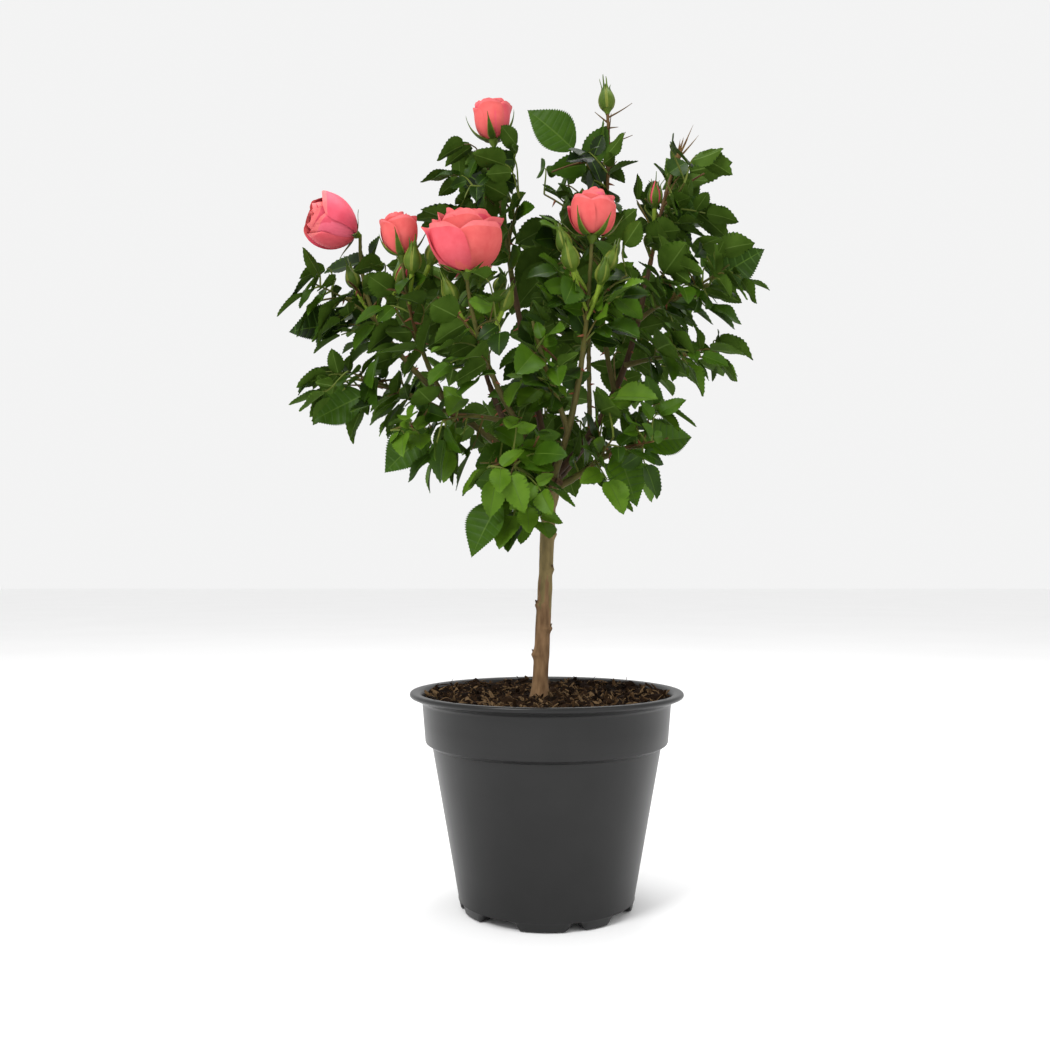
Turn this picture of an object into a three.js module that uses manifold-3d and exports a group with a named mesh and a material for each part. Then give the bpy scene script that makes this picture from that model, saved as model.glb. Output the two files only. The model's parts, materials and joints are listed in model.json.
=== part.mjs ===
// A standard rose in its nursery pot: a bare stem, a round crown of leafy canes and coral pink roses.
// Millimetres, +Z up, with the origin in the middle of the pot's underside.
import * as THREE from "three";
import { mergeVertices } from "three/addons/utils/BufferGeometryUtils.js";
import Module from "manifold-3d";

const wasm = await Module();
wasm.setup();

// Clearance between neighbouring pieces, the distance at which two corners are one, and the least bend
const GAP = 0.3;
const MERGE_DISTANCE = 1e-4;
const LEAST_BEND = 1e-3;

// Pot: a tapered shell with a rolled rim, a band under it and a ring of feet
const POT_HEIGHT = 149;
const POT_SIDES = 24;
const RIM_RADIUS = 95;
const RIM_WIDTH = 7;
const RIM_THICKNESS = 3.5;
const RIM_UNDERCUT = 3;
const RIM_BEVEL = 0.9;
const BAND_TOP_RADIUS = 86.5;
const BAND_FOOT_RADIUS = 84.3;
const BAND_FOOT_HEIGHT = 115;
const BAND_STEP_DROP = 3;
const FOOT_RADIUS = 60;
const WALL_SLOPE = 0.175;
const WALL_THICKNESS = 2;
const FOOT_BEVEL = 1.2;
const FOOT_INNER_RADIUS = 50;
const FLOOR_UNDERSIDE = 7.5;
const FLOOR_THICKNESS = 2.5;
const PAD_RADIUS = 18;
const BAND_TOP_HEIGHT = POT_HEIGHT - RIM_THICKNESS - RIM_UNDERCUT;
const STEP_FOOT_HEIGHT = BAND_FOOT_HEIGHT - BAND_STEP_DROP;
const FLOOR_TOP = FLOOR_UNDERSIDE + FLOOR_THICKNESS;

// Notches between the feet: two widths, repeated round the pot, in degrees from the front
const NOTCH_HEIGHT = 6;
const NOTCH_REPEATS = 4;
const NOTCHES = [
  { middle: 17.5, width: 9 },
  { middle: -33.5, width: 27 },
];

// Soil: fills the pot to just below the rim
const SOIL_LEVEL = 144.5;
const SOIL_RINGS = [0.2, 0.45, 0.7, 0.9, 0.99];
// Height and breadth of its lumps, and of the bank against the pot's wall
const SOIL_LUMP = 1.6;
const SOIL_LUMP_BREADTH = 9;
const SOIL_LUMP_SHIFT = [1, 2];
const SOIL_BANK = 2;
const SOIL_BANK_BREADTH = 10;

// Trunk: leans a little, flares at the soil, swells at old buds and at the graft. Its line starts in the
// soil and its solid at a flat cut just over it, at a share of that line.
const TRUNK_ROOT = [-5, 0, 139.3];
const TRUNK_TOP = [3, 0, 304];
const TRUNK_CUT_HEIGHT = SOIL_LEVEL + GAP;
const TRUNK_CUT = (TRUNK_CUT_HEIGHT - TRUNK_ROOT[2]) / (TRUNK_TOP[2] - TRUNK_ROOT[2]);
const TRUNK_BASE_RADIUS = 5.4;
const TRUNK_TOP_RADIUS = 4.6;
const FLARE_GROWTH = 2.2;
const FLARE_HEIGHT = 0.035;
const GRAFT_GROWTH = 4;
const GRAFT_PLACE = 0.93;
const GRAFT_HEIGHT = 0.065;
const TRUNK_SIDES = 10;
const TRUNK_STEPS = 24;
// Old buds: share of the trunk's height, direction in degrees from +X, height over the bark
const TRUNK_BUDS = [
  { place: 0.21, azimuth: 180, growth: 1.6 },
  { place: 0.32, azimuth: -20, growth: 1.3 },
  { place: 0.42, azimuth: 200, growth: 1.4 },
  { place: 0.57, azimuth: -40, growth: 1.2 },
  { place: 0.72, azimuth: 10, growth: 1.5 },
];
const TRUNK_BUD_HEIGHT = 0.016;

// Canes: radii, and how far the handles of their curves reach, as shares of their span
const CANE_BASE_RADIUS = 2.7;
const CANE_TIP_RADIUS = 1.1;
const BRANCH_SHARE = 0.85;
const CANE_LOWER_HANDLE = 0.4;
const CANE_UPPER_HANDLE = 0.35;
// A cane enters its mass between these shares of its length
const ENTRY_RANGE = [0.25, 0.9];
const ENTRY_STEP = 0.02;
const BOUGH_SIDES = 5;
const BOUGH_STEPS = 4;
const STEM_SIDES = 3;
const STEM_STEPS = 5;
const SEAT_GAP = 1.2 * GAP;

// Leaves: pinnate, with a terminal leaflet and two pairs, in one thin blade cut to the rib between them
const LEAFLET_LENGTH = 34;
const LEAFLET_WIDEST = 0.45;
const LEAF_SIZES = [0.78, 1.25];
const LEAF_THICKNESS = 0.9;
const LEAF_FOLD = 0.16;
const LEAF_DROOP = 0.006;
const RIB_HALF_WIDTH = 0.7;
const RIB_ARCH = 0.08;
const LEAST_STALK = 5;
const PAIR_SEAT = 1.8;
const PAIR_SEAT_LEAD = 3.2;
// How far below its end a leaf leaves the stem, and how far up the stem leaves grow under a flower
const ROOT_DROP = 28;
const STEM_UNDER_FLOWER = 0.93;
const STEM_SAMPLES = 20;
// The last leaflet goes on along the stalk, turns outward and hangs
const LEAF_ONWARD = 0.7;
const LEAF_OUTWARD = 0.55;
const LEAF_HANG = [0, 1.1];
const TERMINAL_WIDTHS = [0.66, 0.78];
// Pairs from the lower one up: distance below the terminal leaflet, as a share of its length
const PAIR_DISTANCES = [0.88, 0.3];
const PAIR_LEAST_STALK = 0.1;
const PAIR_LENGTHS = [0.66, 0.88];
const PAIR_WIDTHS = [0.58, 0.66];
const PAIR_SWINGS = [64, 69];
// Blades face upward, outward and a little to either side
const FACE_UP = 0.6;
const FACE_OUT = [0.3, 1.3];
const FACE_TURN = [-0.6, 0.6];
// A blade that its rib nearly runs square to would twist; the least sine of the angle between them
const TWIST_LIMIT = 0.35;
const TWIST_PROBES = [0, 0.25, 0.5, 0.75, 1];
// Leaves that carry the outline are larger, set out from high on the cane and face the front
const LEAD_GROWTH = 1.25;
const LEAD_FACE = [0, -1, 0.35];
const LEAD_AIM = 0.75;
// Leaf places spread through a mass: steps of an even sequence, how far out, and how few lie deep inside
const SPREAD_STEPS = [0.8192, 0.671, 0.5497];
const SPREAD_REACH = 0.84;
const SPREAD_DEEPEST = 0.06;
const SPREAD_POWER = 0.42;

// Flowers: radius, height of the middle over the base, room they keep round it, sides
const FLOWERS = {
  open: { radius: 23, middle: 18, clearance: 24, sides: 9 },
  half: { radius: 14, middle: 14, clearance: 16, sides: 7 },
  bud: { radius: 5, middle: 10, clearance: 9, sides: 5 },
};
// Flower outlines as [radius, height] shares of the flower's radius
const FLOWER_PROFILES = {
  open: [[0, 0], [0.14, 0.04], [0.16, 0.26], [0.72, 0.56], [1, 1.12], [0.94, 1.46], [0.5, 1.6], [0, 1.55]],
  half: [[0, 0], [0.24, 0.06], [0.3, 0.36], [0.85, 0.75], [1, 1.2], [0.7, 1.8], [0, 1.75]],
  bud: [[0, 0], [0.6, 0.4], [0.54, 1.2], [0.96, 2.3], [0, 4.6]],
};
const FLOWER_SINK = 1.2;
// Buds stand on pedicels fanned over the side of the crown that their mass faces
const PEDICEL_RADIUS = 1;
const PEDICEL_SIDES = 3;
const PEDICEL_STEPS = 2;
const PEDICEL_LENGTHS = [22, 30];
const PEDICEL_RISE = 0.25;
const BUD_ROOTS = [0.66, 0.82];
const BUD_ABOVE_ENTRY = 0.05;
const BUD_FAN = 85;
const BUD_SCATTER = [-15, 15];
const BUD_LEAN = [38, 55];
const BACK_DEPTH = 40;
// Flowers of one cane stand closer together than their room
const CLUSTER_SHARE = 0.75;

// How a mass keeps to its space
const SPACE_LIMIT = 1.16;
const LEAD_LIMIT = 1.45;
const SPACE_MARGIN = 0.015;
const LIMB_CLEARANCE = 1.6;
const LEAF_SPACING = 6;
const LEAF_TRIES = 90;
const LEAST_LEAFLETS = 3;
const LIMB_SAMPLES = 48;
const LIMBS_NEAR = 2;
const BLOOMS_NEAR = 2.4;
// Places that show whether a leaf is clear: shares of its stalk, and [out, across] shares of a leaflet.
// Stalks may stand close together up to the first crowded probes.
const STALK_PROBES = [0.3, 0.45, 0.6, 0.8, 1];
const STALK_CROWDED = 2;
const LEAFLET_PROBES = [
  [0.2, 0.36], [0.48, 0.5], [0.8, 0.24],
  [0.25, 0.1], [0.5, 0.25], [0.5, 0], [0.76, 0], [1, 0],
];
// Numbers that keep the chances of different parts apart
const SPREAD_KEY = 70;
const BUD_KEY = 500;
const PAIR_KEY = 20;

// The crown, a row for each mass of foliage. A cane leaves its parent (the trunk where none is named)
// at the share `at` of its length, rising by `lift` degrees, and ends in `tip`, rising by `finish`.
// Its leaves fill the ellipsoid of half axes `reach` round `centre`. `leads` are the mass's furthest
// leaf tips, which carry the crown's outline.
const MASSES = [
  { name: "left_outer", at: 0.94, tip: [-139, -20, 448], lift: 35, finish: 70, seed: 617,
    centre: [-138, -18, 418], reach: [42, 42, 48], leaves: 8, flower: "open", buds: 2,
    leads: [[-178, -15, 399]] },
  { name: "left_inner", from: "left_outer", at: 0.4, tip: [-94, -55, 432], lift: 40, finish: 80, seed: 94,
    centre: [-94, -50, 402], reach: [34, 36, 50], leaves: 7, flower: "half", buds: 3 },
  { name: "left_low", from: "left_outer", at: 0.3, tip: [-130, -24, 362], lift: 20, finish: 5, seed: 185,
    centre: [-124, -22, 356], reach: [46, 42, 36], leaves: 8, leads: [[-162, -20, 336]] },
  { name: "front_left", at: 0.96, tip: [-52, -66, 418], lift: 42, finish: 80, seed: 378,
    centre: [-52, -60, 390], reach: [36, 42, 52], leaves: 8, flower: "open", buds: 4 },
  { name: "low_left", from: "front_left", at: 0.3, tip: [-84, -46, 332], lift: 10, finish: -15, seed: 613,
    centre: [-78, -40, 326], reach: [44, 42, 38], leaves: 7, leads: [[-109, -40, 298]] },
  { name: "low_front", at: 0.9, tip: [-22, -56, 300], lift: 30, finish: -40, seed: 303,
    centre: [-20, -46, 300], reach: [40, 40, 52], leaves: 8, leads: [[-51, -40, 242], [-68, -42, 282]] },
  { name: "top_left", at: 0.985, tip: [-37, 12, 534], lift: 78, finish: 84, seed: 248,
    centre: [-44, 6, 490], reach: [44, 46, 60], leaves: 7, flower: "half", leads: [[-61, 2, 555]] },
  { name: "centre", at: 0.925, tip: [28, -56, 444], lift: 46, finish: 84, seed: 470,
    centre: [30, -50, 418], reach: [42, 42, 50], leaves: 6, flower: "half", buds: 4 },
  { name: "heart", from: "centre", at: 0.25, tip: [-10, -54, 394], lift: 60, finish: 70, seed: 397,
    centre: [-8, -46, 368], reach: [36, 42, 50], leaves: 7 },
  { name: "top_right", at: 0.955, tip: [92, 6, 522], lift: 42, finish: 70, seed: 232,
    centre: [92, 2, 488], reach: [38, 46, 54], leaves: 7, flower: "bud", buds: 1,
    leads: [[110, -12, 490]] },
  { name: "top_centre", from: "top_right", at: 0.3, tip: [43, 4, 554], lift: 75, finish: 86, seed: 109,
    centre: [26, 2, 498], reach: [46, 48, 64], leaves: 6, flower: "bud", leads: [[-12, -10, 552]] },
  { name: "right_mid", from: "top_right", at: 0.52, tip: [108, -30, 424], lift: 30, finish: 10, seed: 163,
    centre: [100, -26, 424], reach: [44, 44, 36], leaves: 8, leads: [[147, -25, 446]] },
  { name: "right_low", from: "top_right", at: 0.38, tip: [100, -22, 380], lift: 10, finish: 0, seed: 181,
    centre: [94, -20, 380], reach: [44, 42, 28], leaves: 6, leads: [[137, -20, 379]] },
  { name: "low_right", at: 0.91, tip: [64, -26, 316], lift: 15, finish: -10, seed: 648,
    centre: [56, -22, 318], reach: [48, 40, 44], leaves: 5,
    leads: [[102, -20, 330], [79, -20, 303], [60, -22, 275]] },
  { name: "back_left", at: 0.93, tip: [-60, 78, 462], lift: 35, finish: 78, seed: 204,
    centre: [-72, 66, 430], reach: [52, 48, 62], leaves: 5, flower: "open", buds: 2 },
  { name: "back_low", from: "back_left", at: 0.25, tip: [-6, 74, 344], lift: 25, finish: -5, seed: 469,
    centre: [-6, 66, 338], reach: [62, 48, 48], leaves: 6 },
  { name: "back_right", at: 0.92, tip: [72, 80, 440], lift: 36, finish: 76, seed: 489,
    centre: [76, 68, 412], reach: [46, 48, 56], leaves: 5, buds: 2 },
  { name: "back_centre", from: "back_right", at: 0.3, tip: [34, 82, 492], lift: 62, finish: 82, seed: 408,
    centre: [12, 76, 448], reach: [48, 48, 62], leaves: 5, flower: "half", buds: 2 },
];

// Colours and finish of each material
const MATERIALS = {
  pot: { color: 0x3a3b3c, roughness: 0.42, metalness: 0 },
  soil: { color: 0x38291e, roughness: 0.95, metalness: 0 },
  bark: { color: 0x74593c, roughness: 0.8, metalness: 0 },
  cane: { color: 0x5a5a30, roughness: 0.6, metalness: 0 },
  foliage: { color: 0x3f5a26, roughness: 0.5, metalness: 0 },
};

const UP = new THREE.Vector3(0, 0, 1);
const { degToRad, radToDeg, lerp } = THREE.MathUtils;
const point = ([x, y, z]) => new THREE.Vector3(x, y, z);
const between = ([low, high], share) => lerp(low, high, share);

// The unit vector at an azimuth from +X and an elevation over level, in degrees.
function ray(azimuth, elevation) {
  const flat = Math.cos(degToRad(elevation));
  return new THREE.Vector3(
    flat * Math.cos(degToRad(azimuth)),
    flat * Math.sin(degToRad(azimuth)),
    Math.sin(degToRad(elevation)),
  );
}

// A number from 0 to 1 that depends only on the seed and the keys.
function draw(seed, ...keys) {
  let hash = seed >>> 0;
  for (const key of keys) {
    hash = Math.imul((hash ^ (key + 0x9e3779b9)) >>> 0, 0x85ebca6b) >>> 0;
    hash = (hash ^ (hash >>> 13)) >>> 0;
    hash = Math.imul(hash, 0xc2b2ae35) >>> 0;
    hash = (hash ^ (hash >>> 16)) >>> 0;
  }
  return hash / 2 ** 32;
}

// Trunk line and radius
const trunkLine = new THREE.LineCurve3(point(TRUNK_ROOT), point(TRUNK_TOP));
const swell = (place, middle, width) => Math.exp(-(((place - middle) / width) ** 2));

function trunkRadius(place, azimuth) {
  let radius = lerp(TRUNK_BASE_RADIUS, TRUNK_TOP_RADIUS, place);
  radius += FLARE_GROWTH * Math.exp((TRUNK_CUT - place) / FLARE_HEIGHT);
  radius += GRAFT_GROWTH * swell(place, GRAFT_PLACE, GRAFT_HEIGHT);
  for (const bud of TRUNK_BUDS) {
    const facing = Math.max(0, Math.cos(degToRad(azimuth - bud.azimuth)));
    radius += bud.growth * facing ** 2 * swell(place, bud.place, TRUNK_BUD_HEIGHT);
  }
  return radius;
}

// How deep a point lies in a mass's ellipsoid: 0 in its middle, 1 on its surface.
function depthIn(cane, place) {
  return place.clone().sub(cane.centre).divide(cane.reach).length();
}

function inSpace(cane, canes, place, limit) {
  const depth = depthIn(cane, place);
  if (depth > limit) return false;
  return canes.every((other) => other === cane || depthIn(other, place) > depth + SPACE_MARGIN);
}

// One cane for each mass, with the share of its length where it enters its own space.
function growCanes() {
  const canes = [];
  for (const row of MASSES) {
    const parent = canes.find((cane) => cane.name === row.from);
    const start = (parent ? parent.curve : trunkLine).getPoint(row.at);
    const tip = point(row.tip);
    const span = start.distanceTo(tip);
    const azimuth = radToDeg(Math.atan2(tip.y - start.y, tip.x - start.x));
    const lower = start.clone().addScaledVector(ray(azimuth, row.lift), CANE_LOWER_HANDLE * span);
    const upper = tip.clone().addScaledVector(ray(azimuth, row.finish), -CANE_UPPER_HANDLE * span);
    const base = parent ? parent.radius(row.at) * BRANCH_SHARE : CANE_BASE_RADIUS;
    canes.push({
      ...row,
      parent,
      curve: new THREE.CubicBezierCurve3(start, lower, upper, tip),
      radius: (share) => lerp(base, CANE_TIP_RADIUS, share),
      centre: point(row.centre),
      reach: point(row.reach),
      leads: (row.leads ?? []).map(point),
    });
  }
  for (const cane of canes) {
    const [lowest, highest] = ENTRY_RANGE;
    cane.entry = highest;
    const inside = () => inSpace(cane, canes, cane.curve.getPoint(cane.entry - ENTRY_STEP), 1);
    while (cane.entry > lowest && inside()) cane.entry -= ENTRY_STEP;
  }
  return canes;
}

// Points along the trunk and every cane, with the distance that leaves keep from each.
function limbPoints(canes) {
  const limbs = [];
  for (let i = 0; i <= LIMB_SAMPLES; i++) {
    const share = i / LIMB_SAMPLES;
    for (const cane of canes)
      limbs.push({
        place: cane.curve.getPoint(share),
        radius: cane.radius(share) + LIMB_CLEARANCE,
        stemOf: share > cane.entry ? cane : null,
      });
    limbs.push({
      place: trunkLine.getPoint(share),
      radius: trunkRadius(share, 0) + TRUNK_BUDS[0].growth + LIMB_CLEARANCE,
      stemOf: null,
    });
  }
  return limbs;
}

// The flower at a cane's tip, and its buds on pedicels fanned round the side that faces out.
function flowersOf(cane) {
  const flowers = [];
  if (cane.flower)
    flowers.push({ kind: cane.flower, base: cane.curve.getPoint(1), axis: cane.curve.getTangent(1) });
  const outside = cane.centre.y > BACK_DEPTH ? 90 : -90;
  for (let i = 0; i < (cane.buds ?? 0); i++) {
    const chance = (key) => draw(cane.seed, BUD_KEY + i, key);
    const fan = cane.buds > 1 ? lerp(-BUD_FAN, BUD_FAN, i / (cane.buds - 1)) : 0;
    const lean = ray(outside + fan + between(BUD_SCATTER, chance(1)), between(BUD_LEAN, chance(3)));
    const root = cane.curve.getPoint(Math.max(between(BUD_ROOTS, chance(2)), cane.entry + BUD_ABOVE_ENTRY));
    const length = between(PEDICEL_LENGTHS, chance(4));
    const bend = root.clone().addScaledVector(lean, length / 2);
    const base = bend.clone().addScaledVector(lean, length * (0.5 - PEDICEL_RISE))
      .addScaledVector(UP, length * PEDICEL_RISE);
    const pedicel = new THREE.QuadraticBezierCurve3(root, bend, base);
    flowers.push({ kind: "bud", base, axis: pedicel.getTangent(1), pedicel });
  }
  for (const flower of flowers) {
    flower.radius = FLOWERS[flower.kind].radius;
    flower.clearance = FLOWERS[flower.kind].clearance;
    flower.middle = flower.base.clone().addScaledVector(flower.axis, FLOWERS[flower.kind].middle);
  }
  return flowers;
}

// Where a leaf's stalk ends: places spread evenly through the ellipsoid, most of them near its surface.
function leafPlace(cane, number) {
  const spread = (step, i) => (draw(cane.seed, SPREAD_KEY + i) + number * step) % 1;
  const [out, rise, turn] = SPREAD_STEPS.map(spread);
  const direction = ray(360 * turn, radToDeg(Math.asin(1 - 2 * rise)));
  const depth = SPREAD_REACH * lerp(SPREAD_DEEPEST, 1, out) ** SPREAD_POWER;
  return direction.multiplyScalar(depth).multiply(cane.reach).add(cane.centre);
}

// The place on a cane's stem that is nearest to a point.
function nearestOnStem(cane, target) {
  const range = [cane.entry + ENTRY_STEP, cane.flower ? STEM_UNDER_FLOWER : 1];
  let best = null;
  for (let i = 0; i <= STEM_SAMPLES; i++) {
    const place = cane.curve.getPoint(between(range, i / STEM_SAMPLES));
    if (!best || place.distanceTo(target) < best.distanceTo(target)) best = place;
  }
  return best;
}

// One pinnate leaf: an arched rib from the stem, with a leaflet at its end and two pairs below it.
function pinnateLeaf(cane, number) {
  const chance = (key) => draw(cane.seed, number, key);
  const lead = cane.leads[number];
  const longest = LEAFLET_LENGTH * (lead ? LEAD_GROWTH : between(LEAF_SIZES, chance(7)));
  const end = lead
    ? lead.clone().addScaledVector(cane.curve.getPoint(LEAD_AIM).sub(lead).normalize(), longest)
    : leafPlace(cane, number);
  const root = nearestOnStem(cane, end.clone().addScaledVector(UP, -ROOT_DROP));
  const straight = end.clone().sub(root).normalize();
  const outward = new THREE.Vector3(end.x - TRUNK_TOP[0], end.y - TRUNK_TOP[1], 0).normalize();
  const last = lead
    ? lead.clone().sub(end).normalize()
    : straight.clone().multiplyScalar(LEAF_ONWARD).addScaledVector(outward, LEAF_OUTWARD)
      .addScaledVector(UP, -between(LEAF_HANG, chance(3))).normalize();
  const stalk = root.distanceTo(end);
  const lower = root.clone().addScaledVector(straight, stalk / 3).addScaledVector(UP, RIB_ARCH * stalk);
  const upper = end.clone().addScaledVector(last, -stalk / 3);
  const leaflets = [{
    terminal: true,
    hand: 1,
    swing: 0,
    from: stalk,
    length: longest,
    width: longest * between(TERMINAL_WIDTHS, chance(10)),
  }];
  PAIR_DISTANCES.forEach((distance, pair) => {
    if (stalk < (distance + PAIR_LEAST_STALK) * longest) return;
    for (const hand of [-1, 1]) {
      const key = PAIR_KEY + 2 * pair + (hand + 1) / 2;
      const shorter = longest * between(PAIR_LENGTHS, chance(key + 10));
      leaflets.push({
        terminal: false,
        hand,
        swing: degToRad(between(PAIR_SWINGS, chance(key))),
        from: stalk - distance * longest,
        length: shorter,
        width: shorter * between(PAIR_WIDTHS, chance(key + 20)),
      });
    }
  });
  const face = UP.clone().multiplyScalar(FACE_UP).addScaledVector(outward, between(FACE_OUT, chance(5)))
    .addScaledVector(outward.clone().cross(UP), between(FACE_TURN, chance(6)));
  return {
    rib: new THREE.CubicBezierCurve3(root, lower, upper, end),
    face: lead ? point(LEAD_FACE) : face,
    stalk,
    leaflets,
    limit: lead ? LEAD_LIMIT : SPACE_LIMIT,
  };
}

// A place on a leaf: `along` its rib, `aside` of it and `over` its blade, in millimetres, measured in the
// rib's directions at a station on it.
function onLeaf(leaf, station, along, aside, over = 0) {
  const share = station / leaf.stalk;
  const tangent = leaf.rib.getTangent(share);
  const side = leaf.face.clone().cross(tangent).normalize();
  const normal = tangent.clone().cross(side);
  const rise = LEAF_FOLD * Math.abs(aside) - LEAF_DROOP * aside ** 2 + over;
  return leaf.rib.getPoint(share).addScaledVector(tangent, along - station)
    .addScaledVector(side, aside).addScaledVector(normal, rise);
}

// Along and aside of the rib for a place on a leaflet: `out` from base to tip, `across` from edge to edge.
function onLeaflet({ hand, swing, from, length, width }, out, across) {
  return [
    from + out * length * Math.cos(swing) + across * width * Math.sin(swing),
    hand * (out * length * Math.sin(swing) - across * width * Math.cos(swing)),
  ];
}

function twists({ rib, face }) {
  const square = face.clone().normalize();
  return TWIST_PROBES.some((share) => rib.getTangent(share).cross(square).length() < TWIST_LIMIT);
}

function leafletProbes(leaf, leaflet) {
  return LEAFLET_PROBES.flatMap(([out, across]) => [
    onLeaf(leaf, leaflet.from, ...onLeaflet(leaflet, out, across)),
    onLeaf(leaf, leaflet.from, ...onLeaflet(leaflet, out, -across)),
  ]);
}

// The leaves of a mass that stay in its space, clear of limbs, flowers and each other.
function growLeaves(cane, canes, flowers, limbs) {
  const near = limbs.filter((limb) => limb.stemOf !== cane && depthIn(cane, limb.place) < LIMBS_NEAR);
  const blooms = flowers.filter((flower) => depthIn(cane, flower.middle) < BLOOMS_NEAR);
  const clear = (place) =>
    near.every((limb) => limb.place.distanceTo(place) > limb.radius) &&
    blooms.every((bloom) => bloom.middle.distanceTo(place) > bloom.clearance);
  const taken = [];
  const leaves = [];
  for (let number = 0; number < LEAF_TRIES && leaves.length < cane.leaves; number++) {
    const leaf = pinnateLeaf(cane, number);
    if (leaf.stalk < LEAST_STALK || twists(leaf)) continue;
    const fits = (place) => inSpace(cane, canes, place, leaf.limit) && clear(place);
    const apart = (place) => taken.every((other) => other.distanceTo(place) > LEAF_SPACING);
    const stalkProbes = STALK_PROBES.map((share) => leaf.rib.getPoint(share));
    leaf.leaflets = leaf.leaflets.filter((leaflet) => {
      const probes = leafletProbes(leaf, leaflet);
      return probes.every(fits) && probes.every(apart);
    });
    const least = cane.leads[number] ? 1 : LEAST_LEAFLETS;
    if (!leaf.leaflets[0]?.terminal || leaf.leaflets.length < least) continue;
    if (!stalkProbes.every(fits) || !stalkProbes.slice(STALK_CROWDED).every(apart)) continue;
    leaves.push(leaf);
    taken.push(...stalkProbes, ...leaf.leaflets.flatMap((leaflet) => leafletProbes(leaf, leaflet)));
  }
  return leaves;
}

// The flowers of the whole crown. A bud that would touch a limb, a bloom or another mass is left off.
function growFlowers(canes, limbs) {
  const flowers = [];
  for (const cane of canes)
    for (const flower of flowersOf(cane)) {
      const room = (limb) => limb.stemOf === cane ||
        limb.place.distanceTo(flower.middle) > limb.radius + flower.clearance;
      const apart = (other) => other.middle.distanceTo(flower.middle) >
        (other.cane === cane ? CLUSTER_SHARE : 1) * (other.clearance + flower.clearance);
      const inside = (place) => inSpace(cane, canes, place, LEAD_LIMIT);
      const fits = inside(flower.base) && inside(flower.middle) && limbs.every(room) && flowers.every(apart);
      if (flower.pedicel && !fits) continue;
      flowers.push({ ...flower, cane });
    }
  return flowers;
}

// A closed geometry as a solid, with its shared corners merged.
function solid(geometry) {
  const bare = new THREE.BufferGeometry().setAttribute("position", geometry.getAttribute("position"));
  bare.setIndex(geometry.index);
  const merged = mergeVertices(bare, MERGE_DISTANCE);
  const corners = [...merged.index.array];
  const triVerts = [];
  for (let i = 0; i < corners.length; i += 3) {
    const [a, b, c] = corners.slice(i, i + 3);
    if (a !== b && b !== c && c !== a) triVerts.push(a, b, c);
  }
  return new wasm.Manifold(new wasm.Mesh({
    numProp: 3,
    vertProperties: merged.getAttribute("position").array,
    triVerts: new Uint32Array(triVerts),
  }));
}

// The main body of a solid, without scraps or sealed hollows.
function mainBody(whole) {
  const bodies = whole.decompose();
  return bodies.reduce((largest, body) => (body.volume() > largest.volume() ? body : largest));
}

function meshOf(name, made, finish) {
  const { vertProperties, triVerts } = made.getMesh();
  const geometry = new THREE.BufferGeometry();
  geometry.setAttribute("position", new THREE.BufferAttribute(vertProperties, 3));
  geometry.setIndex(new THREE.BufferAttribute(triVerts, 1));
  geometry.computeVertexNormals();
  const mesh = new THREE.Mesh(geometry, new THREE.MeshStandardMaterial(finish));
  mesh.name = name;
  return mesh;
}

// Moves each corner of a geometry to where `move` puts it.
function reshape(geometry, move) {
  const places = geometry.getAttribute("position");
  for (let i = 0; i < places.count; i++) {
    const moved = move(new THREE.Vector3().fromBufferAttribute(places, i));
    places.setXYZ(i, moved.x, moved.y, moved.z);
  }
  return geometry;
}

// A round limb along a flat curve, from one share of it to another: a cylinder laid along the curve.
function limb(curve, radiusAt, { from = 0, to = 1, sides, steps }) {
  let side = curve.getTangent(from).cross(curve.getTangent(to));
  if (side.length() < LEAST_BEND) side = curve.getTangent(from).cross(new THREE.Vector3(0, 1, 0));
  side.normalize();
  return reshape(new THREE.CylinderGeometry(1, 1, 1, sides, steps), ({ x, y, z }) => {
    const share = lerp(from, to, y + 0.5);
    const second = side.clone().cross(curve.getTangent(share));
    const spoke = side.clone().multiplyScalar(x).addScaledVector(second, z);
    const azimuth = radToDeg(Math.atan2(spoke.y, spoke.x));
    return curve.getPoint(share).addScaledVector(spoke, radiusAt(share, azimuth));
  });
}

// A profile of [radius, height] pairs turned round +Z.
function turned(profile, sides) {
  const outline = profile.map(([radius, height]) => new THREE.Vector2(radius, height));
  return new THREE.LatheGeometry(outline, sides).rotateX(Math.PI / 2);
}

const wallRadius = (height) => FOOT_RADIUS + WALL_SLOPE * height;
const bandRadius = (height) => lerp(
  BAND_FOOT_RADIUS,
  BAND_TOP_RADIUS,
  (height - BAND_FOOT_HEIGHT) / (BAND_TOP_HEIGHT - BAND_FOOT_HEIGHT),
);

// The pot's inner wall up to a height under the rim, `inset` away from it.
function innerWall(top, inset) {
  const thick = WALL_THICKNESS + inset;
  return [
    [wallRadius(FLOOR_TOP) - thick, FLOOR_TOP + inset],
    [wallRadius(STEP_FOOT_HEIGHT) - thick, STEP_FOOT_HEIGHT],
    [BAND_FOOT_RADIUS - thick, BAND_FOOT_HEIGHT],
    [bandRadius(top) - thick, top],
  ];
}

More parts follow.
